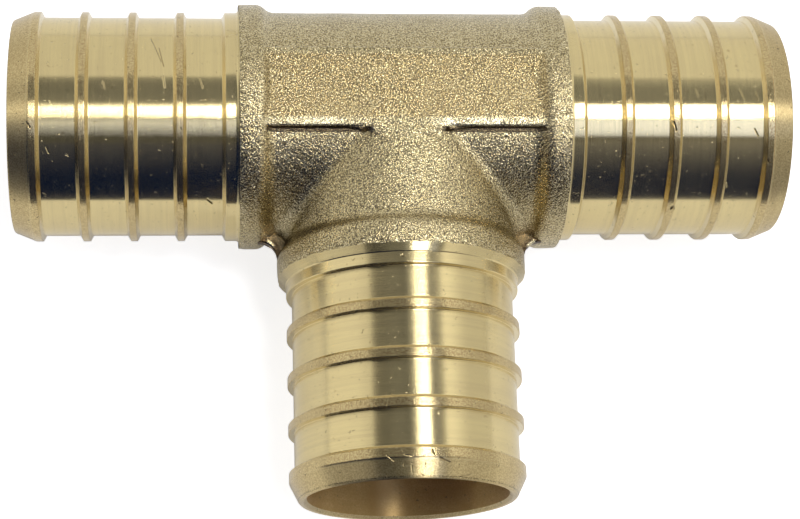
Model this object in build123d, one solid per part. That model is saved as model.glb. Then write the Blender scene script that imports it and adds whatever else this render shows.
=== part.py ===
from build123d import *
import os

# Equal tee for crimped plastic tube: one brass forging with three turned insert spigots.
#
# Frame: the origin is where the three bore axes cross. +X runs along the through run, the
# branch points to -Y, and +Z is up out of the face that carries the label pad. All sizes
# are in millimetres.

# ---------------------------------------------------------------- driving dimensions

# Waterway
bore_radius = 9.35            # straight drilled bore of every arm
bore_chamfer = 0.30           # deburred mouth of each bore

# Insert spigots, which the tube is pushed over
crest_radius = 10.95          # top of the ribs, the inside of the tube
barrel_radius = 10.42         # plain barrel between the ribs
nose_radius = 10.17           # outside of the spigot where its lead-in cone ends
rib_count = 4                 # ribs on each spigot, the first at the end of the lead-in
flank_width = 0.30            # length of a rib's sloping side along the axis

# Ribs of the two run arms
run_reach = 36.5              # crossing of the axes to either end of the run
run_first_crest = 34.5        # crossing of the axes to the outer edge of the first rib
run_rib_pitch = 4.47          # spacing of the ribs along the spigot
run_crest_width = 0.60        # flat top of a rib

# Ribs of the branch, which is turned on its own: wider, and nearly square on the outer side
branch_reach = 36.6           # crossing of the axes to the end of the branch
branch_first_crest = 34.85    # crossing of the axes to the outer edge of the first rib
branch_rib_pitch = 4.53       # spacing of the ribs along the spigot
branch_crest_width = 0.82     # flat top of a rib
branch_step_width = 0.04      # length of a rib's outer side along the axis
branch_nose_chamfer = 0.15    # edge break between the cone and the flat end

# Land at the foot of each spigot, where the tube stops
land_length = 1.30            # foot of the forging to the outer edge of the land
land_root_chamfer = 0.35      # slope between the land and the face of the forging

# Turned shoulder, which only the branch has
shoulder_length = 0.75        # length of the cone along the branch
branch_land_length = 1.04     # land between the cone and the first groove

# Forged body
body_reach = 15.3             # crossing of the axes to the end of the forged skin
body_radius = 11.0            # round body of the run between its collars
branch_body_relief = 0.04     # how much thinner the round body of the branch is
collar_radius = 11.78         # raised collar round the end of each arm
collar_width = 1.55           # full-height part of a collar
collar_slope = 1.85           # length of the slope from a collar down to the body
saddle_radius = 1.30          # hollow blend where the branch grows out of the run

# Label pad, raised flat on the top of the run
pad_half_width = 3.95         # half of the pad's width across the run
pad_edge_radius = 0.65        # rounded long edges of the pad

# Trimmed flash left in each inner corner, on the plane where the forging dies meet
web_thickness = 0.90          # height of the flash
web_corner_radius = 1.80      # radius that the trimming tool leaves

# ------------------------------------------------------------------- derived values

branch_body_radius = body_radius - branch_body_relief
collar_start = body_reach - collar_width
slope_start = collar_start - collar_slope


# ------------------------------------------------------------------------ sections

def turned(corners):
    """Solid of revolution about the X axis, from its outline as (along the axis, radius)."""
    start = corners[0][0]
    end = corners[-1][0]
    outline = Polyline((start, 0), *corners, (end, 0), close=True)
    return revolve(make_face(outline), Axis.X)


def rib_corners(outer_edge, crest, outer_side):
    """Corners of one rib, from its side towards the body to its side towards the end."""
    inner_edge = outer_edge - crest
    return [
        (inner_edge - flank_width, barrel_radius),
        (inner_edge, crest_radius),
        (outer_edge, crest_radius),
        (outer_edge + outer_side, barrel_radius),
    ]


def spigot(land, first_crest, pitch, crest, outer_side, end):
    """One insert spigot along +X, from the two ends of its land to the corners of its end."""
    land_start, land_end = land
    corners = [
        (land_start, crest_radius),
        (land_end, crest_radius),
        (land_end + outer_side, barrel_radius),
    ]
    for rib in reversed(range(1, rib_count)):
        corners += rib_corners(first_crest - rib * pitch, crest, outer_side)
    corners += rib_corners(first_crest, crest, outer_side)[:3]
    return turned(corners + end)


def run_spigot():
    """Spigot of a run arm, with a sharp outer edge at its end."""
    land = (body_reach, body_reach + land_length)
    end = [(run_reach, nose_radius)]
    return spigot(land, run_first_crest, run_rib_pitch, run_crest_width, flank_width, end)


def branch_spigot():
    """Spigot of the branch, which starts at the turned cone and has a broken edge."""
    cone_end = body_reach + shoulder_length
    land = (cone_end, cone_end + branch_land_length)
    end = [
        (branch_reach - branch_nose_chamfer, nose_radius),
        (branch_reach, nose_radius - branch_nose_chamfer),
    ]
    return spigot(
        land,
        branch_first_crest,
        branch_rib_pitch,
        branch_crest_width,
        branch_step_width,
        end,
    )


def run_collar():
    """Collar of a run arm, with a flat face and a small slope down to the land."""
    return turned([
        (slope_start, body_radius),
        (collar_start, collar_radius),
        (body_reach, collar_radius),
        (body_reach, crest_radius + land_root_chamfer),
        (body_reach + land_root_chamfer, crest_radius),
    ])


def branch_collar():
    """Collar of the branch, which ends in a turned cone down to the land."""
    return turned([
        (slope_start, branch_body_radius),
        (collar_start, collar_radius),
        (body_reach, collar_radius),
        (body_reach + shoulder_length, crest_radius),
    ])


# -------------------------------------------------------------------------- solids

def along_run(solid):
    """A right-hand arm's solid and its copy on the left-hand arm."""
    return [solid, Rot(0, 0, 180) * solid]


def along_branch(solid):
    """An arm's solid turned to the branch."""
    return Rot(0, 0, -90) * solid


def round_body():
    """The two crossing round bodies, blended where the branch grows out of the run."""
    run = turned([(-body_reach, body_radius), (body_reach, body_radius)])
    branch = along_branch(turned([(0, branch_body_radius), (body_reach, branch_body_radius)]))
    body = run + branch
    saddle = new_edges(run, branch, combined=body).filter_by(GeomType.BSPLINE)
    return fillet(saddle, saddle_radius)


def label_pad():
    """Flat pad on top of the run, as high as the round body, between the collars."""
    half_length = collar_start + collar_width / 2
    top = body_radius
    section = Plane.YZ * RectangleRounded(2 * pad_half_width, 2 * top, pad_edge_radius)
    upper_half = Box(
        2 * half_length,
        2 * pad_half_width,
        top,
        align=(Align.CENTER, Align.CENTER, Align.MIN),
    )
    return extrude(section, amount=half_length, both=True) & upper_half


def corner_web():
    """Trimmed flash in one inner corner, between the run collar and the branch collar."""
    rim = collar_radius
    buried = rim - web_corner_radius
    end = collar_start + web_thickness
    bend = rim + web_corner_radius
    outline = Polyline(
        (rim, -bend), (rim, -end), (buried, -end), (buried, -buried), (end, -buried),
        (end, -rim), (bend, -rim),
    )
    corner = RadiusArc((bend, -rim), (rim, -bend), -web_corner_radius)
    return extrude(make_face(outline + corner), amount=web_thickness / 2, both=True)


def waterway():
    """The three drilled bores with their deburred mouths."""
    def drill(reach):
        return turned([
            (0, bore_radius),
            (reach - bore_chamfer, bore_radius),
            (reach, bore_radius + bore_chamfer),
        ])

    return along_run(drill(run_reach)) + [along_branch(drill(branch_reach))]


def tee_body():
    """The whole fitting: forging, turned spigots and bores in one piece."""
    web = corner_web()

    tee = round_body()
    tee += along_run(run_collar()) + [along_branch(branch_collar())]
    tee += along_run(run_spigot()) + [along_branch(branch_spigot())]
    tee += [label_pad(), web, mirror(web, Plane.YZ)]
    tee -= waterway()
    return tee


os.makedirs("parts", exist_ok=True)
export_step(tee_body(), "parts/tee_body.step")
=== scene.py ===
"""Studio scene of a one-piece brass tee for crimped plastic tube.

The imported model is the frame. Every piece of the fitting is built here as a closed mesh in that frame,
with sizes in millimetres, and rides on the model's one body.
"""

from __future__ import annotations

import logging
import math
from dataclasses import dataclass, field
from enum import Enum

import bmesh
import bpy
import numpy as np
from mathutils import Matrix, Vector

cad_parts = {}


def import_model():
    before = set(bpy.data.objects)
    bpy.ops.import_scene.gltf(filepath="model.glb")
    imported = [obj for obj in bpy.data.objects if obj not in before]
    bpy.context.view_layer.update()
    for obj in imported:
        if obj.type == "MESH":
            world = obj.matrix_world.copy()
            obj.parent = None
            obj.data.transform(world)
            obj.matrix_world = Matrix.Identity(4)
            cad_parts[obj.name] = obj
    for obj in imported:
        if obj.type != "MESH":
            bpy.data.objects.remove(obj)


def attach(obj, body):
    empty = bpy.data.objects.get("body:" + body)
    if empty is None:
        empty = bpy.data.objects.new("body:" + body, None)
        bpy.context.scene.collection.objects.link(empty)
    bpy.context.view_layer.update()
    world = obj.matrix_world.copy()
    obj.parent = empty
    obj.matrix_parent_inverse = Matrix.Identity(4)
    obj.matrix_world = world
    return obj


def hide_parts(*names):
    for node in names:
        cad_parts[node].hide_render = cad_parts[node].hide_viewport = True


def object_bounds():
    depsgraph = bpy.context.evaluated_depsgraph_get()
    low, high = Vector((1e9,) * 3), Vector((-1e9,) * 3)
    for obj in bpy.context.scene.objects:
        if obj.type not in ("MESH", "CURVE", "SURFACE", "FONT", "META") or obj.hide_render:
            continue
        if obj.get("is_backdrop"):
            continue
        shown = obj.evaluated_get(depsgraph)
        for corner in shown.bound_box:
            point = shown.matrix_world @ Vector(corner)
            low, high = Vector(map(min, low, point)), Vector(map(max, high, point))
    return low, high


MM = 0.001
ABSENT = 99.0  # distance, in millimetres, that stands for a form that isn't there
TINY = 1e-9  # least divisor
MERGED = 2e-7  # corners of a mesh that are closer than this, in metres, become one
BODY = "root"
NODE = "tee_body"

log = logging.getLogger("crimp_tee")

Array = np.ndarray
Socket = bpy.types.NodeSocket
Outputs = bpy.types.NodeOutputs
Colour = tuple[float, float, float, float]
Span = tuple[float, float]
VALUE = "NodeSocketFloat"
VECTOR = "NodeSocketVector"


# -------------------------------------------- sizes and directions


class Axle(Enum):
    """The two bore axes, by the name that Blender gives to a direction."""

    RUN = "X"
    BRANCH = "Y"


class Arm(Enum):
    """The three arms of the tee, with the direction each runs and the direction of its crotch side."""

    RIGHT = ("right", (1, 0, 0), (0, -1, 0))
    LEFT = ("left", (-1, 0, 0), (0, -1, 0))
    BRANCH = ("branch", (0, -1, 0), (1, 0, 0))

    def __init__(self, label: str, along: tuple[int, int, int], crotch: tuple[int, int, int]) -> None:
        """Keep the arm's name and its directions as arrays.

        Args:
            label: Name of the arm.
            along: Direction from the crossing of the axes to the arm's end.
            crotch: Direction from the arm's axis towards its inner corner.
        """
        self.label = label
        self.along = np.array(along, float)
        self.crotch = np.array(crotch, float)
        self.up = np.array((0.0, 0.0, 1.0))

    def place(self, reach: Array, radius: Array, angle: Array) -> Array:
        """Points at a reach along the arm, a radius off its axis and an angle up from its crotch side.

        Args:
            reach: Distance of each point from the crossing of the axes, along the arm.
            radius: Distance of each point from the arm's axis.
            angle: Angle of each point round the arm, in radians.

        Returns:
            The points in the frame, with one more axis of length 3.
        """
        reach, radius, angle = np.broadcast_arrays(reach, radius, angle)
        return (
            reach[..., None] * self.along
            + (radius * np.cos(angle))[..., None] * self.crotch
            + (radius * np.sin(angle))[..., None] * self.up
        )


@dataclass(frozen=True)
class TeeSizes:
    """Driving dimensions of the fitting, in millimetres."""

    bore_radius: float = 9.35
    bore_chamfer: float = 0.30
    crest_radius: float = 10.95
    barrel_radius: float = 10.42
    nose_radius: float = 10.17
    rib_count: int = 4
    flank_width: float = 0.30
    run_reach: float = 36.5
    run_first_crest: float = 34.5
    run_rib_pitch: float = 4.47
    run_crest_width: float = 0.60
    run_nose_chamfer: float = 0.10
    branch_reach: float = 36.6
    branch_first_crest: float = 34.85
    branch_rib_pitch: float = 4.53
    branch_crest_width: float = 0.82
    branch_step_width: float = 0.04
    branch_nose_chamfer: float = 0.15
    land_length: float = 1.30
    land_hollow: float = 0.35
    shoulder_length: float = 0.75
    branch_land_length: float = 1.04
    body_reach: float = 15.3
    body_radius: float = 11.0
    branch_body_relief: float = 0.04
    collar_radius: float = 11.78
    collar_width: float = 1.55
    collar_slope: float = 1.85
    saddle_radius: float = 1.30
    pad_half_width: float = 3.95
    pad_edge_radius: float = 0.22
    pad_flat_half: float = 3.03
    pad_droop: float = 0.15
    pad_foot_radius: float = 0.12
    web_thickness: float = 0.90
    web_corner_radius: float = 1.80

    @property
    def collar_start(self) -> float:
        """Reach at which a collar has its full height."""
        return self.body_reach - self.collar_width

    @property
    def slope_start(self) -> float:
        """Reach at which the slope of a collar leaves the round body."""
        return self.collar_start - self.collar_slope

    @property
    def shoulder_fall(self) -> float:
        """Fall of the branch's turned cone for each millimetre of reach."""
        return (self.collar_radius - self.crest_radius) / self.shoulder_length

    def body_radius_of(self, arm: Arm) -> float:
        """Radius of the round body of an arm between the crossing and its collar."""
        return self.body_radius - (self.branch_body_relief if arm is Arm.BRANCH else 0.0)

    def reach_of(self, arm: Arm) -> float:
        """Reach of the open end of an arm."""
        return self.branch_reach if arm is Arm.BRANCH else self.run_reach

    def outer_side_of(self, arm: Arm) -> float:
        """Length along the arm of the side of a rib, or of the land, that faces the open end."""
        return self.branch_step_width if arm is Arm.BRANCH else self.flank_width

    def crests_of(self, arm: Arm) -> list[tuple[float, float]]:
        """Reach of both edges of each crest on an arm, from the body to the open end.

        Args:
            arm: The arm.

        Returns:
            Inner and outer edge of each rib's crest.
        """
        if arm is Arm.BRANCH:
            first, pitch, width = self.branch_first_crest, self.branch_rib_pitch, self.branch_crest_width
        else:
            first, pitch, width = self.run_first_crest, self.run_rib_pitch, self.run_crest_width
        outer = [first - rib * pitch for rib in reversed(range(self.rib_count))]
        return [(edge - width, edge) for edge in outer]


# -------------------------------------------- forged surface


@dataclass
class Unevenness:
    """Smooth random relief, made of plane waves in random directions.

    Attributes:
        height: Largest usual height of the relief, in millimetres.
        shortest: Shortest wavelength, in millimetres.
        longest: Longest wavelength, in millimetres.
        waves: Number of waves that are added up.
        seed: Seed of the random draws.
    """

    height: float
    shortest: float
    longest: float
    waves: int = 24
    seed: int = 1
    vectors: Array = field(init=False)
    phases: Array = field(init=False)

    def __post_init__(self) -> None:
        """Draw the direction, wavelength and phase of each wave."""
        draw = np.random.default_rng(self.seed)
        directions = draw.normal(size=(self.waves, 3))
        directions /= np.linalg.norm(directions, axis=1, keepdims=True)
        lengths = np.exp(draw.uniform(math.log(self.shortest), math.log(self.longest), self.waves))
        self.vectors = directions * (2 * math.pi / lengths)[:, None]
        self.phases = draw.uniform(0, 2 * math.pi, self.waves)

    def at(self, points: Array) -> Array:
        """Height of the relief at points in the frame.

        Args:
            points: Points with a last axis of length 3.

        Returns:
            The heights, from about minus to plus the relief's height.
        """
        total = np.zeros(points.shape[:-1])
        for vector, phase in zip(self.vectors, self.phases):
            total += np.sin(points @ vector + phase)
        return self.height * np.clip(total / math.sqrt(2 * self.waves), -1, 1)


@dataclass
class Surface:
    """Distances of points from a form's surface, positive outside, and directions away from it."""

    distance: Array
    normal: Array

    def blended(self, other: Surface, radius: float) -> Surface:
        """Union with another form, with a hollow blend of one radius where they meet.

        Args:
            other: The form to add.
            radius: Radius of the blend.

        Returns:
            The surface of the two forms as one.
        """
        first, second = radius - self.distance, radius - other.distance
        facing = np.sum(self.normal * other.normal, axis=-1)
        spread = np.maximum(1 - facing**2, TINY)
        share_first = (first - facing * second) / spread
        share_second = (second - facing * first) / spread
        to_ball = share_first[..., None] * self.normal + share_second[..., None] * other.normal
        length = np.linalg.norm(to_ball, axis=-1)
        inside_blend = (share_first > 0) & (share_second > 0)
        nearer = self.distance <= other.distance
        distance = np.where(nearer, self.distance, other.distance)
        normal = np.where(nearer[..., None], self.normal, other.normal)
        ball_normal = to_ball / np.maximum(length, TINY)[..., None]
        return Surface(
            np.where(inside_blend, radius - length, distance),
            np.where(inside_blend[..., None], ball_normal, normal),
        )


@dataclass
class ForgedForm:
    """Shape of the blasted forging: two crossing round bodies, their collars, the saddle and the pad.

    Attributes:
        sizes: Driving dimensions.
        waviness: Slow unevenness of the skin.
        orange_peel: Quick unevenness of the skin.
        rag: Unevenness of the edge where the cutting tool starts.
        rag_depth: How far that edge's unevenness reaches back along an arm.
        lowest_start: Distance from an axis that is inside the forging everywhere.
        highest_end: Distance from an axis that is outside it everywhere.
        halvings: How often the stretch between the two is halved to find the skin.
        droop_power: How quickly the pad's droop grows towards its edge.
    """

    sizes: TeeSizes
    waviness: Unevenness = field(default_factory=lambda: Unevenness(0.022, 3.5, 9.0, 20, 11))
    orange_peel: Unevenness = field(default_factory=lambda: Unevenness(0.005, 0.55, 1.3, 60, 12))
    rag: Unevenness = field(default_factory=lambda: Unevenness(0.06, 0.5, 2.4, 40, 13))
    rag_depth: float = 0.55
    lowest_start: float = 9.0
    highest_end: float = 12.2
    halvings: int = 26
    droop_power: float = 1.3

    def arm_radius(self, reach: Array, arm: Arm) -> tuple[Array, Array]:
        """Radius of the round body and its collar, joined by an ogee of two equal arcs.

        Args:
            reach: Distances from the crossing of the axes.
            arm: The arm that the radius belongs to.

        Returns:
            The radius at each reach, and how steeply it rises there.
        """
        sizes = self.sizes
        low = sizes.body_radius_of(arm)
        rise, run = sizes.collar_radius - low, sizes.collar_slope
        bend = (run**2 + rise**2) / (4 * rise)
        travel = np.clip(reach - sizes.slope_start, 0, run)
        lower = travel < run / 2
        from_flat = np.where(lower, travel, run - travel)
        sagitta = bend - np.sqrt(bend**2 - from_flat**2)
        radius = np.where(lower, low + sagitta, sizes.collar_radius - sagitta)
        steepness = from_flat / np.sqrt(bend**2 - from_flat**2)
        return radius, steepness

    def round_arm(self, points: Array, arm: Arm) -> Surface:
        """Surface of one arm's round body with its collar.

        Args:
            points: Points in the frame.
            arm: The arm; the right arm stands for the whole run.

        Returns:
            The surface at those points.
        """
        reach = points @ arm.along
        if arm is not Arm.BRANCH:
            reach_sign, reach = np.sign(reach), np.abs(reach)
        else:
            reach_sign = np.ones_like(reach)
        across = points - (points @ arm.along)[..., None] * arm.along
        off_axis = np.linalg.norm(across, axis=-1)
        radius, steepness = self.arm_radius(reach, arm)
        slant = np.sqrt(1 + steepness**2)
        outward = across / np.maximum(off_axis, TINY)[..., None]
        normal = (outward - (steepness * reach_sign)[..., None] * arm.along) / slant[..., None]
        distance = (off_axis - radius) / slant
        if arm is Arm.BRANCH:
            distance = np.where(reach < 0, ABSENT, distance)
        return Surface(distance, normal)

    def pad(self, points: Array) -> Surface:
        """Surface of the flat pad on top of the run, whose long edges droop a little and are rounded.

        Args:
            points: Points in the frame.

        Returns:
            The surface at those points.
        """
        sizes = self.sizes
        edge = sizes.pad_edge_radius
        side = np.sign(points[..., 1])
        over_side = np.abs(points[..., 1]) - (sizes.pad_half_width - edge)
        droop_width = sizes.pad_half_width - sizes.pad_flat_half
        past_flat = (np.abs(points[..., 1]) - sizes.pad_flat_half) / droop_width
        droop = sizes.pad_droop * np.clip(past_flat, 0, 1) ** self.droop_power
        over_top = points[..., 2] - (sizes.body_radius - edge) + droop
        corner = np.hypot(np.maximum(over_side, 0), np.maximum(over_top, 0))
        distance = corner + np.minimum(np.maximum(over_side, over_top), 0) - edge
        distance = np.where(points[..., 2] < 0, ABSENT, distance)
        on_corner = corner > 0
        share = np.maximum(corner, TINY)
        side_part = np.where(on_corner, np.maximum(over_side, 0) / share, over_side > over_top)
        top_part = np.where(on_corner, np.maximum(over_top, 0) / share, over_side <= over_top)
        normal = np.stack([np.zeros_like(side), side * side_part, top_part], axis=-1)
        return Surface(distance, normal)

    def whole(self, points: Array) -> Array:
        """Distance of points from the finished forging, positive outside.

        Args:
            points: Points in the frame.

        Returns:
            The distances, in millimetres.
        """
        run = self.round_arm(points, Arm.RIGHT)
        branch = self.round_arm(points, Arm.BRANCH)
        top = run.blended(self.pad(points), self.sizes.pad_foot_radius)
        return top.blended(branch, self.sizes.saddle_radius).distance

    def relief(self, points: Array) -> Array:
        """How far the real skin lies below its nominal form, never above it.

        Args:
            points: Points on the nominal form.

        Returns:
            Depths in millimetres.
        """
        reach = np.maximum(np.abs(points[..., 0]), -points[..., 1])
        near_edge = np.clip((reach - self.sizes.body_reach) / self.rag_depth + 1, 0, 1)
        depth = self.waviness.height - self.waviness.at(points)
        depth += self.orange_peel.height - self.orange_peel.at(points)
        return depth + near_edge * (self.rag.height - self.rag.at(points))

    def struck(self, start: Array, direction: Array) -> Array:
        """Points where rays from inside the forging come out of its real skin.

        Args:
            start: Start of each ray, on an axis of the tee.
            direction: Direction of each ray.

        Returns:
            The points on the skin.
        """
        low = np.full(start.shape[:-1], self.lowest_start)
        high = np.full(start.shape[:-1], self.highest_end)
        for _ in range(self.halvings):
            middle = (low + high) / 2
            outside = self.whole(start + middle[..., None] * direction) > 0
            high = np.where(outside, middle, high)
            low = np.where(outside, low, middle)
        nominal = start + low[..., None] * direction
        return nominal - self.relief(nominal)[..., None] * direction


@dataclass
class Grid:
    """Rows and columns that the arms' surfaces share, so that neighbouring pieces meet edge to edge.

    Attributes:
        sizes: Driving dimensions.
        form: Shape of the forging.
        top_columns: Columns in a quarter turn of the upper side.
        bottom_columns: Columns in a quarter turn of the underside.
        pad_crowding: How many more columns there are at the edge of the pad.
        pad_spread: Angle over which they crowd.
        fine_steps: Steps that the crowding is added up in.
        open_rows: Rows from the seam to the collar's slope.
        collar_rows: Rows over the slope and the collar.
        collar_lead: How far before the slope the closer rows start.
        edge_rounds: How often the branch's edge is moved onto its turned cone.
    """

    sizes: TeeSizes
    form: ForgedForm
    top_columns: int = 98
    bottom_columns: int = 80
    pad_crowding: float = 4.0
    pad_spread: float = math.radians(1.6)
    fine_steps: int = 2000
    open_rows: int = 46
    collar_rows: int = 30
    collar_lead: float = 0.15
    edge_rounds: int = 6

    def angles(self) -> Array:
        """Column angles round an arm from its crotch side, closer together at the edges of the pad.

        Returns:
            The angles, in radians.
        """
        quarter = math.pi / 2
        pad_edge = self.sizes.pad_half_width - self.sizes.pad_edge_radius / 3
        edge = math.acos(pad_edge / self.sizes.body_radius)
        fine = np.linspace(0, quarter, self.fine_steps + 1)
        crowding = 1 + self.pad_crowding * np.exp(-(((fine - edge) / self.pad_spread) ** 2))
        travelled = np.concatenate([[0], np.cumsum((crowding[1:] + crowding[:-1]) / 2)])
        share = np.linspace(0, travelled[-1], self.top_columns + 1)
        rising = np.interp(share, travelled, fine)
        falling = math.pi - rising[::-1]
        below = np.linspace(math.pi, 2 * math.pi, 2 * self.bottom_columns + 1)
        return np.concatenate([rising[:-1], falling[:-1], below[:-1]])

    def seam(self, arm: Arm, radius: float | None = None) -> Array:
        """First row of an arm, where it meets its neighbours.

        Args:
            arm: The arm.
            radius: Radius of the surface, or None for the skin of the forging.

        Returns:
            One point for each column.
        """
        angles = self.angles()
        share = np.abs(np.cos(angles)) if arm is Arm.BRANCH else np.maximum(np.cos(angles), 0)
        direction = arm.place(share, 1.0, angles)
        if radius is not None:
            return radius * direction
        return self.form.struck(np.zeros_like(direction), direction)

    def edge(self, arm: Arm) -> Array:
        """Last row of the skin on an arm, where the cutting tool starts.

        Args:
            arm: The arm.

        Returns:
            One point for each column.
        """
        angles = self.angles()
        reach = np.full(len(angles), self.sizes.body_reach)
        out = arm.place(0.0, 1.0, angles)
        row = self.form.struck(arm.place(reach, 0.0, angles), out)
        if arm is not Arm.BRANCH:
            return row
        for _ in range(self.edge_rounds):
            radius = np.sum(row * out, axis=-1)
            down_cone = (self.sizes.collar_radius - radius) / self.sizes.shoulder_fall
            reach = self.sizes.body_reach + down_cone
            row = self.form.struck(arm.place(reach, 0.0, angles), out)
        return row

    def skin(self, arm: Arm) -> Array:
        """The skin of one arm from its seam to its turned edge.

        Args:
            arm: The arm.

        Returns:
            Points by row and column.
        """
        angles = self.angles()
        out = arm.place(0.0, 1.0, angles)
        first, last = self.seam(arm), self.edge(arm)
        start, end = first @ arm.along, last @ arm.along
        split = self.sizes.slope_start - self.collar_lead
        shares = np.linspace(0, 1, self.open_rows + 1)[1:, None]
        collar_shares = np.linspace(0, 1, self.collar_rows + 1)[1:-1, None]
        reach = np.concatenate([start + (split - start) * shares, split + (end - split) * collar_shares])
        middle = self.form.struck(reach[..., None] * arm.along, np.broadcast_to(out, (*reach.shape, 3)))
        return np.concatenate([first[None], middle, last[None]])


# -------------------------------------------- mesh making


@dataclass
class MeshBuilder:
    """Collects sheets of points as quads and turns them into one closed mesh.

    Attributes:
        name: Name of the mesh and its object.
        points: Points of each sheet.
        faces: Quads of each sheet, as places in the list of all points.
        finishes: Index of the material of each quad, sheet by sheet.
        count: How many points there are so far.
    """

    name: str
    points: list[Array] = field(default_factory=list)
    faces: list[Array] = field(default_factory=list)
    finishes: list[Array] = field(default_factory=list)
    count: int = 0

    def add_sheet(self, rows: Array, finish: int = 0, around: bool = True) -> None:
        """Add a sheet of points by row and column.

        Args:
            rows: Points with the axes row, column and coordinate, in millimetres.
            finish: Index of the sheet's material on the piece.
            around: Whether the last column joins the first.
        """
        height, width = rows.shape[:2]
        index = self.count + np.arange(height * width).reshape(height, width)
        right = np.roll(index, -1, axis=1) if around else index[:, 1:]
        left = index if around else index[:, :-1]
        quads = np.stack([left[:-1], right[:-1], right[1:], left[1:]], axis=-1).reshape(-1, 4)
        self.points.append(rows.reshape(-1, 3))
        self.faces.append(quads)
        self.finishes.append(np.full(len(quads), finish))
        self.count += height * width

    def build(self, materials: list[bpy.types.Material], crease: float = 32.0) -> bpy.types.Object:
        """Join the sheets, turn their faces outward and make the object.

        Args:
            materials: The piece's materials, in the order of their indices.
            crease: Edges sharper than this many degrees stay sharp.

        Returns:
            The new object, linked to the scene.
        """
        mesh = bpy.data.meshes.new(self.name)
        points = np.concatenate(self.points) * MM
        mesh.from_pydata(points.tolist(), [], np.concatenate(self.faces).tolist())
        mesh.polygons.foreach_set("material_index", np.concatenate(self.finishes).astype(np.int32))
        work = bmesh.new()
        work.from_mesh(mesh)
        bmesh.ops.remove_doubles(work, verts=work.verts, dist=MERGED)
        bmesh.ops.recalc_face_normals(work, faces=work.faces)
        work.to_mesh(mesh)
        work.free()
        mesh.polygons.foreach_set("use_smooth", np.ones(len(mesh.polygons), bool))
        mesh.set_sharp_from_angle(angle=math.radians(crease))
        for material in materials:
            mesh.materials.append(material)
        obj = bpy.data.objects.new(self.name, mesh)
        bpy.context.scene.collection.objects.link(obj)
        return obj


def settle(piece: bpy.types.Object, replaces: bool = False) -> bpy.types.Object:
    """Fix a piece of the fitting to the frame and report it.

    Args:
        piece: The finished piece.
        replaces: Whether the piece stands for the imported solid.

    Returns:
        The same piece.
    """
    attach(piece, BODY)
    if replaces:
        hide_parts(NODE)
    low, high = piece.bound_box[0], piece.bound_box[6]
    size = " x ".join(f"{(b - a) / MM:.2f}" for a, b in zip(low, high))
    log.info("%s: %d faces, %s mm", piece.name, len(piece.data.polygons), size)
    return piece


@dataclass
class Outline:
    """Half section of turned work, as points of (reach, radius) with rounded corners.

    Attributes:
        corners: Reach, radius and rounding of each corner.
        arc_steps: Steps in a rounding.
        longest_step: Longest step on a straight stretch.
        guard: Distance of the extra row beside each corner, which keeps its shading crisp.
    """

    corners: list[tuple[float, float, float]] = field(default_factory=list)
    arc_steps: int = 4
    longest_step: float = 0.40
    guard: float = 0.035

    def to(self, reach: float, radius: float, rounding: float = 0.0) -> Outline:
        """Add a corner with a rounding and return the outline."""
        self.corners.append((reach, radius, rounding))
        return self

    def rounded(self) -> Array:
        """Corners with their arcs put in.

        Returns:
            Points of (reach, radius).
        """
        path = [self.corners[0][:2]]
        for before, corner, after in zip(self.corners, self.corners[1:], self.corners[2:]):
            here = np.array(corner[:2])
            to_before, to_after = np.array(before[:2]) - here, np.array(after[:2]) - here
            if corner[2] <= 0:
                path.append(tuple(here))
                continue
            to_before, to_after = to_before / np.hypot(*to_before), to_after / np.hypot(*to_after)
            half = math.acos(np.clip(to_before @ to_after, -1, 1)) / 2
            back = corner[2] / math.tan(half)
            start, end = here + back * to_before, here + back * to_after
            for step in range(self.arc_steps + 1):
                share = step / self.arc_steps
                path.append(tuple(self.on_arc(start, here, end, share)))
        path.append(self.corners[-1][:2])
        return np.array(path)

    @staticmethod
    def on_arc(start: Array, corner: Array, end: Array, share: float) -> Array:
        """Point on the round corner between two tangent points, as a rational curve.

        Args:
            start: Where the round begins.
            corner: The sharp corner that it replaces.
            end: Where the round ends.
            share: Share of the way along the round.

        Returns:
            The point.
        """
        back, ahead = start - corner, end - corner
        cosine = np.clip(back @ ahead / (np.hypot(*back) * np.hypot(*ahead)), -1, 1)
        weight = math.sin(math.acos(cosine) / 2)
        parts = (1 - share) ** 2, 2 * weight * share * (1 - share), share**2
        return (parts[0] * start + parts[1] * corner + parts[2] * end) / sum(parts)

    def sampled(self) -> Array:
        """Outline with guard points by each corner and even steps on long stretches.

        Returns:
            Points of (reach, radius).
        """
        path = self.rounded()
        result = [path[0]]
        for start, end in zip(path, path[1:]):
            length = float(np.hypot(*(end - start)))
            if length > 4 * self.guard:
                inner_start, inner_end = self.guard / length, 1 - self.guard / length
                steps = max(1, math.ceil((length - 2 * self.guard) / self.longest_step))
                for share in np.linspace(inner_start, inner_end, steps + 1):
                    result.append(start + share * (end - start))
            result.append(end)
        return np.array(result)


# -------------------------------------------- the pieces


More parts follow.
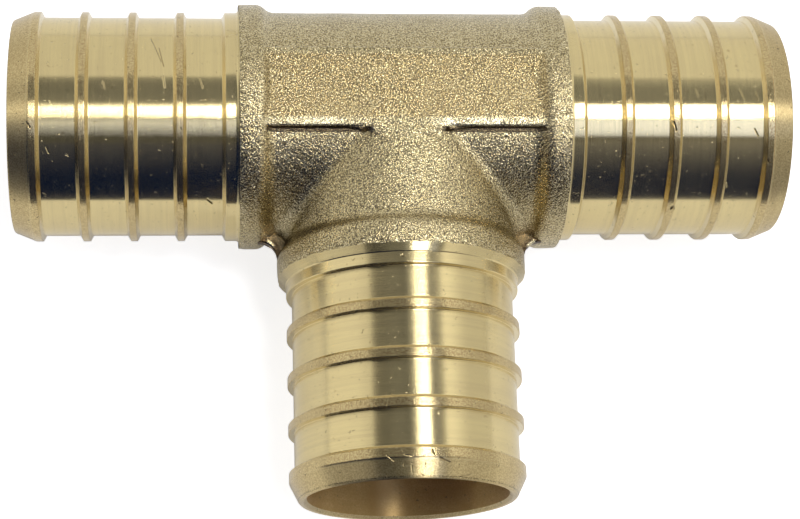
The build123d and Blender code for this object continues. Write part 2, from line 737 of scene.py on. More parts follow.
@dataclass
class Forging:
    """The blasted forging between the three turned arms, with the crossing of the bores inside.

    Attributes:
        sizes: Driving dimensions.
        grid: Rows and columns.
        skin_finish: Material of the outside.
        run_bore_finish: Material of the run's bore.
        branch_bore_finish: Material of the branch's bore.
        bore_rows: Rows of faces in each arm's part of the bore.
    """

    sizes: TeeSizes
    grid: Grid
    skin_finish: bpy.types.Material
    run_bore_finish: bpy.types.Material
    branch_bore_finish: bpy.types.Material
    bore_rows: int = 4

    def build(self) -> bpy.types.Object:
        """Build the forging as one closed mesh.

        Returns:
            The finished piece.
        """
        builder = MeshBuilder("forged_body")
        for arm in Arm:
            skin = self.grid.skin(arm)
            inner_seam = self.grid.seam(arm, self.sizes.bore_radius)
            inner_edge = arm.place(self.sizes.body_reach, self.sizes.bore_radius, self.grid.angles())
            bore = 2 if arm is Arm.BRANCH else 1
            builder.add_sheet(skin, 0)
            builder.add_sheet(np.stack([skin[-1], inner_edge]), bore)
            shares = np.linspace(0, 1, self.bore_rows + 1)[:, None, None]
            builder.add_sheet(inner_seam + shares * (inner_edge - inner_seam), bore)
        finishes = [self.skin_finish, self.run_bore_finish, self.branch_bore_finish]
        return settle(builder.build(finishes), replaces=True)


@dataclass
class Spigot:
    """One turned insert spigot, from the face of the forging to its open end, with its bore.

    Attributes:
        arm: The arm that it is on.
        sizes: Driving dimensions.
        grid: Rows and columns.
        turned_finish: Material of the outside.
        bore_finish: Material of the bore.
        tool_round: Rounding that the tool leaves at the foot of a rib.
        rib_round: Rounding of a rib's crest.
        cone_round: Rounding where the branch's turned cone meets its land.
        nose_round: Rounding of the corners of the end.
        mouth_round: Rounding of the bore's chamfer, at its outer and its inner corner.
        edge_wobble: How far a rib's edges wander.
        wobble_spread: How far the wandering reaches from an edge.
        wobble_seed: Seed of the first edge's wandering.
        still_foot: Length past the forging that doesn't wander.
        still_end: Length before the open end that doesn't wander.
        bore_rows: Rows of faces in the bore.
    """

    arm: Arm
    sizes: TeeSizes
    grid: Grid
    turned_finish: bpy.types.Material
    bore_finish: bpy.types.Material
    tool_round: float = 0.06
    rib_round: float = 0.07
    cone_round: float = 0.03
    nose_round: float = 0.04
    mouth_round: tuple[float, float] = (0.03, 0.05)
    edge_wobble: float = 0.022
    wobble_spread: float = 0.22
    wobble_seed: int = 40
    still_foot: float = 2.0
    still_end: float = 1.0
    bore_rows: int = 6

    def foot(self) -> Outline:
        """Outline from the end of the skin to the first groove.

        Returns:
            The outline, open at its end.
        """
        sizes, outline = self.sizes, Outline()
        if self.arm is Arm.BRANCH:
            land = sizes.body_reach + sizes.shoulder_length
            outline.to(sizes.body_reach, sizes.collar_radius)
            outline.to(land, sizes.crest_radius, self.cone_round)
            land_end = land + sizes.branch_land_length
        else:
            hollow = sizes.land_hollow
            outline.to(sizes.body_reach, sizes.collar_radius)
            outline.to(sizes.body_reach, sizes.crest_radius, hollow)
            land_end = sizes.body_reach + sizes.land_length
        outline.to(land_end, sizes.crest_radius, self.rib_round)
        outer_side = sizes.outer_side_of(self.arm)
        return outline.to(land_end + outer_side, sizes.barrel_radius, self.tool_round)

    def outline(self) -> Outline:
        """Outline of the whole outside, the end face and the mouth of the bore.

        Returns:
            The outline from the skin to the bore.
        """
        sizes, outline = self.sizes, self.foot()
        crests = sizes.crests_of(self.arm)
        outer_side = sizes.outer_side_of(self.arm)
        for inner, outer in crests:
            outline.to(inner - sizes.flank_width, sizes.barrel_radius, self.tool_round)
            outline.to(inner, sizes.crest_radius, self.rib_round)
            outline.to(outer, sizes.crest_radius, self.rib_round)
            if outer < crests[-1][1]:
                outline.to(outer + outer_side, sizes.barrel_radius, self.tool_round)
        end = sizes.reach_of(self.arm)
        chamfer = sizes.branch_nose_chamfer if self.arm is Arm.BRANCH else sizes.run_nose_chamfer
        outer_round, inner_round = self.mouth_round
        outline.to(end - chamfer, sizes.nose_radius, self.nose_round)
        outline.to(end, sizes.nose_radius - chamfer, self.nose_round)
        outline.to(end, sizes.bore_radius + sizes.bore_chamfer, outer_round)
        return outline.to(end - sizes.bore_chamfer, sizes.bore_radius, inner_round)

    def wobble(self, reach: Array, angles: Array) -> Array:
        """Shift of the ribs' edges along the arm, different at each edge.

        Args:
            reach: Reach of each row.
            angles: Angle of each column.

        Returns:
            Shifts by row and column.
        """
        sizes = self.sizes
        shift = np.zeros((len(reach), len(angles)))
        edges = [edge for crest in sizes.crests_of(self.arm) for edge in crest]
        for number, edge in enumerate(edges):
            relief = Unevenness(self.edge_wobble, 1.2, 9.0, 16, self.wobble_seed + number)
            ring = relief.at(self.arm.place(edge, sizes.crest_radius, angles))
            near = np.exp(-(((reach - edge) / self.wobble_spread) ** 2))
            shift += near[:, None] * ring[None, :]
        return shift

    def build(self) -> bpy.types.Object:
        """Build the spigot as one closed mesh.

        Returns:
            The finished piece.
        """
        sizes, angles = self.sizes, self.grid.angles()
        profile = self.outline().sampled()
        reach, radius = profile[:, 0], profile[:, 1]
        before_end = reach < sizes.reach_of(self.arm) - self.still_end
        moving = before_end & (reach > sizes.body_reach + self.still_foot)
        shifted = reach[:, None] + self.wobble(reach, angles) * moving[:, None]
        outside = self.arm.place(shifted, radius[:, None], angles[None, :])
        edge = self.grid.edge(self.arm)
        outside[0] = edge
        self.follow_edge(outside, edge, profile)
        bore_start = self.arm.place(sizes.body_reach, sizes.bore_radius, angles)
        shares = np.linspace(0, 1, self.bore_rows + 1)[:, None, None]
        builder = MeshBuilder(f"{self.arm.label}_spigot")
        builder.add_sheet(outside, 0)
        builder.add_sheet(outside[-1] + shares * (bore_start - outside[-1]), 1)
        builder.add_sheet(np.stack([bore_start, edge]), 1)
        return settle(builder.build([self.turned_finish, self.bore_finish]))

    def follow_edge(self, outside: Array, edge: Array, profile: Array) -> None:
        """Spread the first rows of the face or cone evenly between the ragged skin and the land.

        Args:
            outside: Rows of the outside, changed in place.
            edge: The ragged first row.
            profile: Reach and radius of each row.
        """
        face = self.sizes.body_reach
        if self.arm is Arm.BRANCH:
            travel = profile[:, 0]
            near_land = face + self.sizes.shoulder_length - 0.05
            last = int(np.searchsorted(travel, near_land))
        else:
            travel = -profile[:, 1]
            last = int(np.searchsorted(profile[:, 0], face + 1e-6)) - 1
        shares = ((travel[:last] - travel[0]) / (travel[last] - travel[0]))[:, None, None]
        outside[:last] = edge + shares * (outside[last] - edge)


@dataclass
class CornerWeb:
    """Trimmed flash in one inner corner, on the plane where the forging dies meet.

    Attributes:
        side: 1 for the right corner and -1 for the left one.
        sizes: Driving dimensions.
        skin_finish: Material of its outside.
        cut_finish: Material of the trimmed edge.
        cut_rows: First and last row of the trimmed edge.
        bevel: How far its upper and lower edges are drawn back.
        bevel_power: How square those edges are.
        rag_height: Unevenness of the trimmed edge.
        arc_points: Points along the edge.
        layers: Points over the thickness.
    """

    side: int
    sizes: TeeSizes
    skin_finish: bpy.types.Material
    cut_finish: bpy.types.Material
    cut_rows: tuple[int, int] = (2, 6)
    bevel: float = 0.16
    bevel_power: int = 6
    rag_height: float = 0.06
    arc_points: int = 24
    layers: int = 9

    def build(self) -> bpy.types.Object:
        """Build the flash as one closed mesh.

        Returns:
            The finished piece.
        """
        sizes = self.sizes
        rim, bend = sizes.collar_radius, sizes.collar_radius + sizes.web_corner_radius
        turn = np.linspace(0, math.pi / 2, self.arc_points)
        centre = np.array([bend, -bend])
        arc = centre + sizes.web_corner_radius * np.stack([-np.cos(turn), np.sin(turn)], axis=-1)
        inner = rim - sizes.web_corner_radius
        inward = np.array([inner, -inner]) - arc
        inward /= np.linalg.norm(inward, axis=-1, keepdims=True)
        rag = Unevenness(self.rag_height, 0.6, 2.5, 24, 70 + self.side)
        rows = []
        for height in np.linspace(-1, 1, self.layers):
            drawn_back = 1 - math.sqrt(max(0.0, 1 - abs(height) ** self.bevel_power))
            level = np.full((self.arc_points, 1), height * sizes.web_thickness / 2)
            row = np.concatenate([arc + self.bevel * drawn_back * inward, level], axis=-1)
            row[:, :2] += (rag.at(row) + rag.height)[:, None] * inward
            rows.append(row)
        front = np.array(rows)
        back = front.copy()
        back[..., 0], back[..., 1] = inner, -inner
        for sheet in (front, back):
            sheet[..., 0] *= self.side
        builder = MeshBuilder(f"corner_flash_{'right' if self.side > 0 else 'left'}")
        first, last = self.cut_rows
        builder.add_sheet(front[:first + 1], 0, around=False)
        builder.add_sheet(front[first:last + 1], 1, around=False)
        builder.add_sheet(front[last:], 0, around=False)
        for end in (0, -1):
            builder.add_sheet(np.stack([front[end], back[end]]), 0, around=False)
            builder.add_sheet(np.stack([front[:, end], back[:, end]]), 0, around=False)
        return settle(builder.build([self.skin_finish, self.cut_finish]))


# -------------------------------------------- shader nodes


class Wiring:
    """Adds nodes to a shader tree and joins them."""

    def __init__(self, tree: bpy.types.NodeTree) -> None:
        """Keep the tree."""
        self.tree = tree

    def add(
        self,
        kind: str,
        inputs: dict[str | int, object] | None = None,
        **settings: object,
    ) -> bpy.types.Node:
        """Add a node.

        Args:
            kind: Blender's name for the node's type.
            inputs: Numbers, colours or sockets for its inputs, by name or place.
            **settings: The node's own settings.

        Returns:
            The new node.
        """
        node = self.tree.nodes.new(kind)
        for name, value in settings.items():
            setattr(node, name, value)
        self.feed(node, inputs or {})
        return node

    def feed(self, node: bpy.types.Node, inputs: dict[str | int, object]) -> None:
        """Give values to the inputs of a node.

        Args:
            node: The node.
            inputs: Numbers, colours or sockets, by the name or place of the input.
        """
        for name, value in inputs.items():
            if isinstance(value, Socket):
                self.tree.links.new(value, node.inputs[name])
            else:
                node.inputs[name].default_value = value

    def parts(self, vector: Socket) -> Outputs:
        """The three parts of a vector."""
        return self.add("ShaderNodeSeparateXYZ", {0: vector}).outputs

    def vector(self, *parts: Socket | float) -> Socket:
        """Vector put together from its parts, with zero for those left out."""
        return self.add("ShaderNodeCombineXYZ", dict(enumerate(parts))).outputs[0]

    def join(self, operation: str, *vectors: Socket | tuple[float, float, float]) -> Outputs:
        """Outputs of a vector maths node."""
        inputs = dict(enumerate(vectors))
        return self.add("ShaderNodeVectorMath", inputs, operation=operation).outputs

    def stretched(self, vector: Socket, factor: Socket | float) -> Socket:
        """Vector times a factor."""
        inputs = {0: vector, "Scale": factor}
        return self.add("ShaderNodeVectorMath", inputs, operation="SCALE").outputs[0]

    def grey(self, level: Socket) -> Socket:
        """Grey of one level."""
        return self.add("ShaderNodeCombineColor", {0: level, 1: level, 2: level}).outputs[0]

    def math(self, operation: str, *values: Socket | float, clamp: bool = False) -> Socket:
        """Output of a maths node.

        Args:
            operation: Blender's name for the operation.
            *values: One, two or three values.
            clamp: Whether the result is held between zero and one.

        Returns:
            The result.
        """
        inputs = dict(enumerate(values))
        return self.add("ShaderNodeMath", inputs, operation=operation, use_clamp=clamp).outputs[0]

    def ramp(
        self,
        value: Socket,
        low: Socket | float,
        high: Socket | float,
        start: Socket | float = 0.0,
        end: Socket | float = 1.0,
        smooth: bool = True,
    ) -> Socket:
        """Value carried from one range to another, held at the ends.

        Args:
            value: The value to carry over.
            low: Start of its range.
            high: End of its range.
            start: Result at the start.
            end: Result at the end.
            smooth: Whether the change eases in and out.

        Returns:
            The new value.
        """
        node = self.add(
            "ShaderNodeMapRange",
            {"Value": value, "From Min": low, "From Max": high, "To Min": start, "To Max": end},
            interpolation_type="SMOOTHSTEP" if smooth else "LINEAR",
        )
        return node.outputs["Result"]

    def product(self, first: Socket | float, *others: Socket | float) -> Socket:
        """Product of two or more values.

        Args:
            first: The first value.
            *others: The values that it is multiplied by.

        Returns:
            The product.
        """
        result = first
        for other in others:
            result = self.math("MULTIPLY", result, other)
        return result

    def mix(self, share: Socket | float, first: object, second: object, blend: str = "MIX") -> Socket:
        """Mix of two colours.

        Args:
            share: Share of the second colour.
            first: Colour or socket at share zero.
            second: Colour or socket at share one.
            blend: Blender's name for the way of mixing.

        Returns:
            The mixed colour.
        """
        inputs = {0: share, 6: first, 7: second}
        return self.add("ShaderNodeMix", inputs, data_type="RGBA", blend_type=blend).outputs[2]

    def blend(self, share: Socket | float, first: Socket | float, second: Socket | float) -> Socket:
        """Mix of two values.

        Args:
            share: Share of the second value.
            first: Value at share zero.
            second: Value at share one.

        Returns:
            The mixed value.
        """
        inputs = {0: share, 2: first, 3: second}
        return self.add("ShaderNodeMix", inputs, data_type="FLOAT").outputs[0]

    def bump(self, height: Socket, depth: float, facing: Socket | None = None) -> Socket:
        """Direction that a surface with a relief faces.

        Args:
            height: Height of the relief.
            depth: How many millimetres one unit of the height is.
            facing: Direction that it faces without the relief, or None for the surface's own.

        Returns:
            The direction.
        """
        inputs = {"Strength": 1.0, "Distance": depth * MM, "Height": height}
        if facing is not None:
            inputs["Normal"] = facing
        return self.add("ShaderNodeBump", inputs).outputs[0]

    def noise(
        self,
        place: Socket,
        scale: Socket | float,
        detail: float = 2.0,
        roughness: float = 0.5,
    ) -> Socket:
        """Value of a three-dimensional noise at a place.

        Args:
            place: The place.
            scale: How many waves of the noise go into one unit of the place.
            detail: How many finer layers are added.
            roughness: Strength of each finer layer.

        Returns:
            The value, about one half on average.
        """
        inputs = {"Vector": place, "Scale": scale, "Detail": detail, "Roughness": roughness}
        return self.add("ShaderNodeTexNoise", inputs).outputs["Fac"]


class Effect:
    """A shader node group with named inputs and outputs, built once."""

    name = "effect"
    inputs: dict[str, tuple[str, object]] = {}
    outputs: dict[str, str] = {}

    @classmethod
    def group(cls) -> bpy.types.NodeTree:
        """The group, made at the first call.

        Returns:
            The shader node group.
        """
        found = bpy.data.node_groups.get(cls.name)
        if found:
            return found
        tree = bpy.data.node_groups.new(cls.name, "ShaderNodeTree")
        for label, (kind, default) in cls.inputs.items():
            socket = tree.interface.new_socket(label, in_out="INPUT", socket_type=kind)
            if default is not None:
                socket.default_value = default
        for label, kind in cls.outputs.items():
            tree.interface.new_socket(label, in_out="OUTPUT", socket_type=kind)
        wiring = Wiring(tree)
        entry = wiring.add("NodeGroupInput")
        wiring.feed(wiring.add("NodeGroupOutput"), cls.wire(wiring, entry.outputs))
        return tree

    @classmethod
    def wire(cls, wiring: Wiring, given: Outputs) -> dict[str, Socket]:
        """Wire the group's inside.

        Args:
            wiring: The group's own wiring.
            given: The group's inputs.

        Returns:
            Its results by name.
        """
        raise NotImplementedError

    @classmethod
    def place(cls, wiring: Wiring, inputs: dict[str, object]) -> Outputs:
        """Put the group into a tree.

        Args:
            wiring: The tree's wiring.
            inputs: Values or sockets for the group's inputs, by name.

        Returns:
            The group's outputs.
        """
        return wiring.add("ShaderNodeGroup", inputs, node_tree=cls.group()).outputs


class ArmPlace(Effect):
    """Place on the fitting as reach along the nearest arm, radius off its axis and which arm it is.

    Beyond arm_start the marks of the two run arms differ, and round_scale is how slowly a mark changes
    round an arm.
    """

    name = "arm_place"
    inputs = {"Place": (VECTOR, None)}
    outputs = {"Reach": VALUE, "Radius": VALUE, "Streak": VECTOR, "Outward": VECTOR}
    arm_start = 12.0
    between_arms = 57.0
    round_scale = 0.02

    @classmethod
    def wire(cls, wiring: Wiring, given: Outputs) -> dict[str, Socket]:
        """Wire the group.

        Args:
            wiring: The group's own wiring.
            given: The group's inputs.

        Returns:
            Reach, radius, a place stretched round the arm for marks that the tool leaves, and the
            direction straight out from the arm's axis.
        """
        place = given["Place"]
        axes = wiring.parts(place)
        run = wiring.math("ABSOLUTE", axes[0])
        down = wiring.product(axes[1], -1.0)
        reach = wiring.math("MAXIMUM", run, down)
        square = wiring.join("DOT_PRODUCT", place, place)["Value"]
        across = wiring.math("SUBTRACT", square, wiring.product(reach, reach))
        radius = wiring.math("SQRT", wiring.math("MAXIMUM", across, 0.0))
        right = wiring.math("GREATER_THAN", axes[0], cls.arm_start)
        left = wiring.math("LESS_THAN", axes[0], -cls.arm_start)
        side = wiring.product(wiring.math("SUBTRACT", right, left), cls.between_arms)
        slow = wiring.parts(wiring.stretched(place, cls.round_scale))
        other = wiring.math("ADD", slow[0], slow[1])
        streak = wiring.vector(wiring.math("ADD", reach, side), other, slow[2])
        on_run = wiring.math("GREATER_THAN", run, down)
        kept = wiring.vector(wiring.math("SUBTRACT", 1.0, on_run), on_run, 1.0)
        outward = wiring.join("NORMALIZE", wiring.join("MULTIPLY", place, kept)[0])[0]
        return {"Reach": reach, "Radius": radius, "Streak": streak, "Outward": outward}


class BlastGrain(Effect):
    """Relief of a shot-blasted forging: packed pits with finer pits on them.

    The scales are times the scale of the grain, and the ranges are values of the noise.
    """

    name = "blast_grain"
    inputs = {
        "Place": (VECTOR, None),
        "Grain": (VALUE, 0.2),
        "Fine": (VALUE, 0.4),
    }
    outputs = {"Height": VALUE, "Pit": VALUE, "Glint": VALUE}
    fine_scale = 2.1
    speck_scale = 1.3
    pit_range = (0.52, 0.34)
    glint_range = (0.54, 0.68)

    @classmethod
    def wire(cls, wiring: Wiring, given: Outputs) -> dict[str, Socket]:
        """Wire the group.

        Args:
            wiring: The group's own wiring.
            given: The group's inputs.

        Returns:
            The height of the relief, a mask of its pits and a mask of painted glints: bright specks in
            the colour that stand in for light caught by the grain.
        """
        scale = wiring.math("DIVIDE", 1.0, given["Grain"])
        coarse = wiring.noise(given["Place"], scale, 1.0, 0.5)
        fine = wiring.noise(given["Place"], wiring.product(scale, cls.fine_scale), 1.0, 0.5)
        height = wiring.math("ADD", coarse, wiring.product(fine, given["Fine"]))
        speck = wiring.noise(given["Place"], wiring.product(scale, cls.speck_scale), 0.0, 0.5)
        # The glint mask places painted highlights: bright specks that stand in for the lamp caught by
        # the grain.
        pit, glint = wiring.ramp(speck, *cls.pit_range), wiring.ramp(speck, *cls.glint_range)
        return {"Height": height, "Pit": pit, "Glint": glint}


class PadPlace(Effect):
    """Places on the label pad: its flat top, a painted highlight along its front edge, and painted shade
    in the crease along its front side.

    A pair is where a change starts and ends: heights for the top, reaches along the run for the rest.
    """

    name = "pad_place"
    inputs = {
        "Place": (VECTOR, None),
        "Edge From": (VALUE, 3.05),
        "Edge To": (VALUE, 3.84),
        "Wall": (VALUE, 4.08),
        "Wall Top": (VALUE, 10.73),
        "Length": (VALUE, 13.4),
    }
    outputs = {"Top": VALUE, "Edge": VALUE, "Crease": VALUE}
    top_heights = (10.70, 10.82)
    lowest_crease = 9.0
    open_middle = (2.9, 3.5)
    straight_until = (4.7, 4.2)
    edge_rising = (1.9, 5.2)
    edge_fading = (12.9, 9.6)

    @classmethod
    def wire(cls, wiring: Wiring, given: Outputs) -> dict[str, Socket]:
        """Wire the group.

        Args:
            wiring: The group's own wiring.
            given: The group's inputs.

        Returns:
            Masks of the top, of the painted highlight along the front edge and of the painted shade in
            the crease along the pad's front side.
        """
        axes = wiring.parts(given["Place"])
        reach = wiring.math("ABSOLUTE", axes[0])
        across = wiring.math("ABSOLUTE", axes[1])
        front = wiring.math("LESS_THAN", axes[1], 0.0)
        in_length = wiring.ramp(wiring.math("SUBTRACT", reach, given["Length"]), 0.0, -0.5)
        high = wiring.ramp(axes[2], *cls.top_heights)
        over_start = wiring.math("SUBTRACT", across, given["Edge From"])
        top = wiring.product(wiring.ramp(over_start, 0.25, -0.1), high, in_length)

        # Painted highlight: a bright band along the pad's rounded front edge, patchy and stronger
        # towards the right.
        over_end = wiring.math("SUBTRACT", across, given["Edge To"])
        past_start = wiring.ramp(over_start, -0.1, 0.3)
        at_edge = wiring.product(past_start, wiring.ramp(over_end, 0.1, 0.0), high)
        from_right = wiring.math("ADD", reach, wiring.product(axes[0], 0.35))
        from_left = wiring.math("ADD", reach, wiring.product(axes[0], -0.06))
        rising = wiring.ramp(from_right, *cls.edge_rising)
        fading = wiring.ramp(from_left, *cls.edge_fading, 0.2)
        patchy = wiring.ramp(wiring.noise(given["Place"], 0.75, 2.0, 0.6), 0.34, 0.60, 0.35)
        edge = wiring.product(at_edge, rising, fading, patchy, front)

        # Painted shade: a dark line in the crease under the pad's front edge, carried on straight where
        # the wall fades out and left open in the middle.
        off_wall = wiring.math("ABSOLUTE", wiring.math("SUBTRACT", across, given["Wall"]))
        under = wiring.ramp(wiring.math("SUBTRACT", axes[2], given["Wall Top"]), 0.0, -0.1)
        at_wall = wiring.product(wiring.ramp(off_wall, 0.30, 0.18), under)
        near = wiring.ramp(reach, *cls.straight_until)
        straight = wiring.product(near, wiring.ramp(off_wall, 0.17, 0.06))
        along_wall = wiring.math("MAXIMUM", at_wall, straight)
        off_middle = wiring.ramp(reach, *cls.open_middle)
        upper = wiring.math("GREATER_THAN", axes[2], cls.lowest_crease)
        crease = wiring.product(along_wall, off_middle, in_length, upper, front)
        return {"Top": top, "Edge": edge, "Crease": crease}


class ToolMarks(Effect):
    """Fine rings left by a cutting tool, with their change of tone."""

    name = "tool_marks"
    inputs = {"Streak": (VECTOR, None), "Pitch": (VALUE, 0.12)}
    outputs = {"Height": VALUE, "Tone": VALUE}
    tone_scale = 0.25
    tone_range = (0.35, 0.70)

    @classmethod
    def wire(cls, wiring: Wiring, given: Outputs) -> dict[str, Socket]:
        """Wire the group.

        Args:
            wiring: The group's own wiring.
            given: The group's inputs.

        Returns:
            The height of the rings and a slow change of tone from ring to ring, from zero to one.
        """
        scale = wiring.math("DIVIDE", 1.0, given["Pitch"])
        rings = wiring.noise(given["Streak"], scale, 3.0, 0.6)
        tone = wiring.noise(given["Streak"], wiring.product(scale, cls.tone_scale), 3.0, 0.65)
        return {"Height": rings, "Tone": wiring.ramp(tone, *cls.tone_range)}


class Wear(Effect):
    """Marks of handling on turned work: a fine rough speckle and small nicks."""

    name = "wear"
    inputs = {"Place": (VECTOR, None)}
    outputs = {"Speckle": VALUE, "Nick": VALUE}
    speckle_scale = 7.0
    nick_scale = 2.6
    nick_range = (0.68, 0.73)

    @classmethod
    def wire(cls, wiring: Wiring, given: Outputs) -> dict[str, Socket]:
        """Wire the group.

        Args:
            wiring: The group's own wiring.
            given: The group's inputs.

        Returns:
            The speckle as a value round a half and a mask of the nicks.
        """
        speckle = wiring.noise(given["Place"], cls.speckle_scale, 2.0, 0.6)
        lumps = wiring.noise(given["Place"], cls.nick_scale, 2.0, 0.55)
        return {"Speckle": speckle, "Nick": wiring.ramp(lumps, *cls.nick_range)}


class Stroke(Effect):
    """One straight scratch or smear on the upper side, given by its two ends in plan."""

    name = "stroke"
    inputs = {
        "Place": (VECTOR, None),
        "Start": (VECTOR, None),
        "End": (VECTOR, None),
        "Width": (VALUE, 0.08),
    }
    outputs = {"Mask": VALUE}

    @classmethod
    def wire(cls, wiring: Wiring, given: Outputs) -> dict[str, Socket]:
        """Wire the group.

        Args:
            wiring: The group's own wiring.
            given: The group's inputs.

        Returns:
            A mask that is one along the middle of the stroke.
        """
        flat = wiring.join("MULTIPLY", given["Place"], (1.0, 1.0, 0.0))[0]
        along = wiring.join("SUBTRACT", given["End"], given["Start"])[0]
        out = wiring.join("SUBTRACT", flat, given["Start"])[0]
        travelled = wiring.join("DOT_PRODUCT", out, along)["Value"]
        whole = wiring.join("DOT_PRODUCT", along, along)["Value"]
        share = wiring.math("DIVIDE", travelled, whole, clamp=True)
        away = wiring.join("DISTANCE", out, wiring.stretched(along, share))["Value"]
        near = wiring.ramp(away, given["Width"], 0.0)
        height = wiring.parts(given["Place"])[2]
        return {"Mask": wiring.product(near, wiring.math("GREATER_THAN", height, 0.0))}


class Stain(Effect):
    """Uneven brown tarnish on bare brass."""

    name = "stain"
    inputs = {
        "Place": (VECTOR, None),
        "Size": (VALUE, 5.0),
        "Share": (VALUE, 0.4),
    }
    outputs = {"Mask": VALUE, "Spot": VALUE}
    cloud_range = (0.42, 0.68)
    spot_scale = 9.0
    spot_range = (0.70, 0.76)

    @classmethod
    def wire(cls, wiring: Wiring, given: Outputs) -> dict[str, Socket]:
        """Wire the group.

        Args:
            wiring: The group's own wiring.
            given: The group's inputs.

        Returns:
            A cloudy mask and a mask of small spots.
        """
        scale = wiring.math("DIVIDE", 1.0, given["Size"])
        cloud = wiring.noise(given["Place"], scale, 4.0, 0.6)
        mask = wiring.product(wiring.ramp(cloud, *cls.cloud_range), given["Share"])
        dots = wiring.noise(given["Place"], wiring.product(scale, cls.spot_scale), 2.0, 0.5)
        spot = wiring.product(wiring.ramp(dots, *cls.spot_range), given["Share"])
        return {"Mask": mask, "Spot": spot}


# -------------------------------------------- finishes


@dataclass(frozen=True)
class Brass:
    """Colours that all finishes of the one brass share, linear."""

    fresh: Colour = (0.80, 0.654, 0.328, 1.0)
    brown: Colour = (0.47, 0.33, 0.15, 1.0)
    dull: Colour = (0.66, 0.53, 0.28, 1.0)
    blasted: Colour = (0.64, 0.53, 0.285, 1.0)
    blasted_dull: Colour = (0.54, 0.435, 0.225, 1.0)
    pit: Colour = (0.17, 0.125, 0.06, 1.0)
    # Pale colour of painted highlights: glints on the skin's grain, the pad's front edge and spots on
    # the flash.
    painted_highlight: Colour = (0.86, 0.76, 0.50, 1.0)
    # Near-black colour of painted shade: the crease along the pad, the flash round the inner corners and
    # its trimmed edge.
    scale: Colour = (0.085, 0.055, 0.03, 1.0)
    side: Colour = (0.83, 0.72, 0.46, 1.0)
    pad: Colour = (0.565, 0.435, 0.20, 1.0)


def new_material(name: str) -> tuple[bpy.types.Material, Wiring, bpy.types.Node, Socket]:
    """A metal material with its shader and the place on the fitting in millimetres.

    Args:
        name: Name of the material.

    Returns:
        The material, its wiring, its Principled shader and the place.
    """
    material = bpy.data.materials.new(name)
    material.use_nodes = True
    shader = material.node_tree.nodes["Principled BSDF"]
    wiring = Wiring(material.node_tree)
    wiring.feed(shader, {"Metallic": 1.0})
    where = wiring.add("ShaderNodeTexCoord").outputs["Object"]
    return material, wiring, shader, wiring.stretched(where, 1 / MM)


@dataclass(frozen=True)
class BlastedFinish:
    """Shot-blasted skin of the forging, with painted glints, a painted highlight along the pad's front
    edge and painted shade in the crease below it.

    Attributes:
        name: Name of the material.
        brass: Colours.
        grain: Size of the grain.
        fine: Strength of the finer grain.
        relief: Depth of the grain.
        roughness: Roughness of clean skin.
        dulling: Roughness that stained skin has on top of it.
        pits: How dark the pits are.
        painted_glints: How strongly the painted glints show in the colour of the skin.
        edge_highlight: How bright the painted highlight along the pad's front edge is.
        edge_relief: Share of the grain that is left there.
        crease_shade: How dark the painted shade in the crease along the pad is.
    """

    name: str = "blasted_brass"
    brass: Brass = Brass()
    grain: float = 0.16
    fine: float = 0.5
    relief: float = 0.073
    roughness: float = 0.165
    dulling: float = 0.10
    pits: float = 0.82
    painted_glints: float = 0.64
    edge_highlight: float = 0.50
    edge_relief: float = 0.70
    crease_shade: float = 0.8

    def material(self) -> bpy.types.Material:
        """Make the material.

        Returns:
            The blasted skin.
        """
        material, wiring, shader, place = new_material(self.name)
        grain = BlastGrain.place(wiring, {"Place": place, "Grain": self.grain, "Fine": self.fine})
        stain = Stain.place(wiring, {"Place": place, "Size": 4.0, "Share": 0.35})
        pad = PadPlace.place(wiring, {"Place": place})
        colour = wiring.mix(stain["Mask"], self.brass.blasted, self.brass.blasted_dull)
        colour = wiring.mix(pad["Top"], colour, self.brass.pad)
        # Painted highlights: pale specks for glints of the lamp on the grain.
        colour = wiring.mix(wiring.product(grain["Glint"], self.painted_glints), colour, self.brass.painted_highlight)
        colour = wiring.mix(wiring.product(grain["Pit"], self.pits), colour, self.brass.pit)
        # Painted highlight along the pad's front edge.
        colour = wiring.mix(wiring.product(pad["Edge"], self.edge_highlight), colour, self.brass.painted_highlight)
        # Painted shade in the crease along the pad's front side.
        colour = wiring.mix(wiring.product(pad["Crease"], self.crease_shade), colour, self.brass.scale)
        left = wiring.ramp(pad["Edge"], 0.0, 1.0, 1.0, self.edge_relief, smooth=False)
        normal = wiring.bump(wiring.product(grain["Height"], left), self.relief)
        stained = self.roughness + self.dulling
        rough = wiring.ramp(stain["Mask"], 0.0, 0.35, self.roughness, stained)
        wiring.feed(shader, {"Base Color": colour, "Normal": normal, "Roughness": rough})
        return material


@dataclass(frozen=True)
class Mark:
    """One mark on the upper side, in millimetres: a mark of handling on an arm, or a painted highlight
    on the corner flash.

    Attributes:
        start: Its one end in plan.
        end: Its other end in plan.
        width: Half of its width at the foot.
        dark: How strongly it shows, from zero to one: how dark a mark of handling is, or how bright a
            painted highlight is.
    """

    start: tuple[float, float]
    end: tuple[float, float]
    width: float = 0.09
    dark: float = 0.3


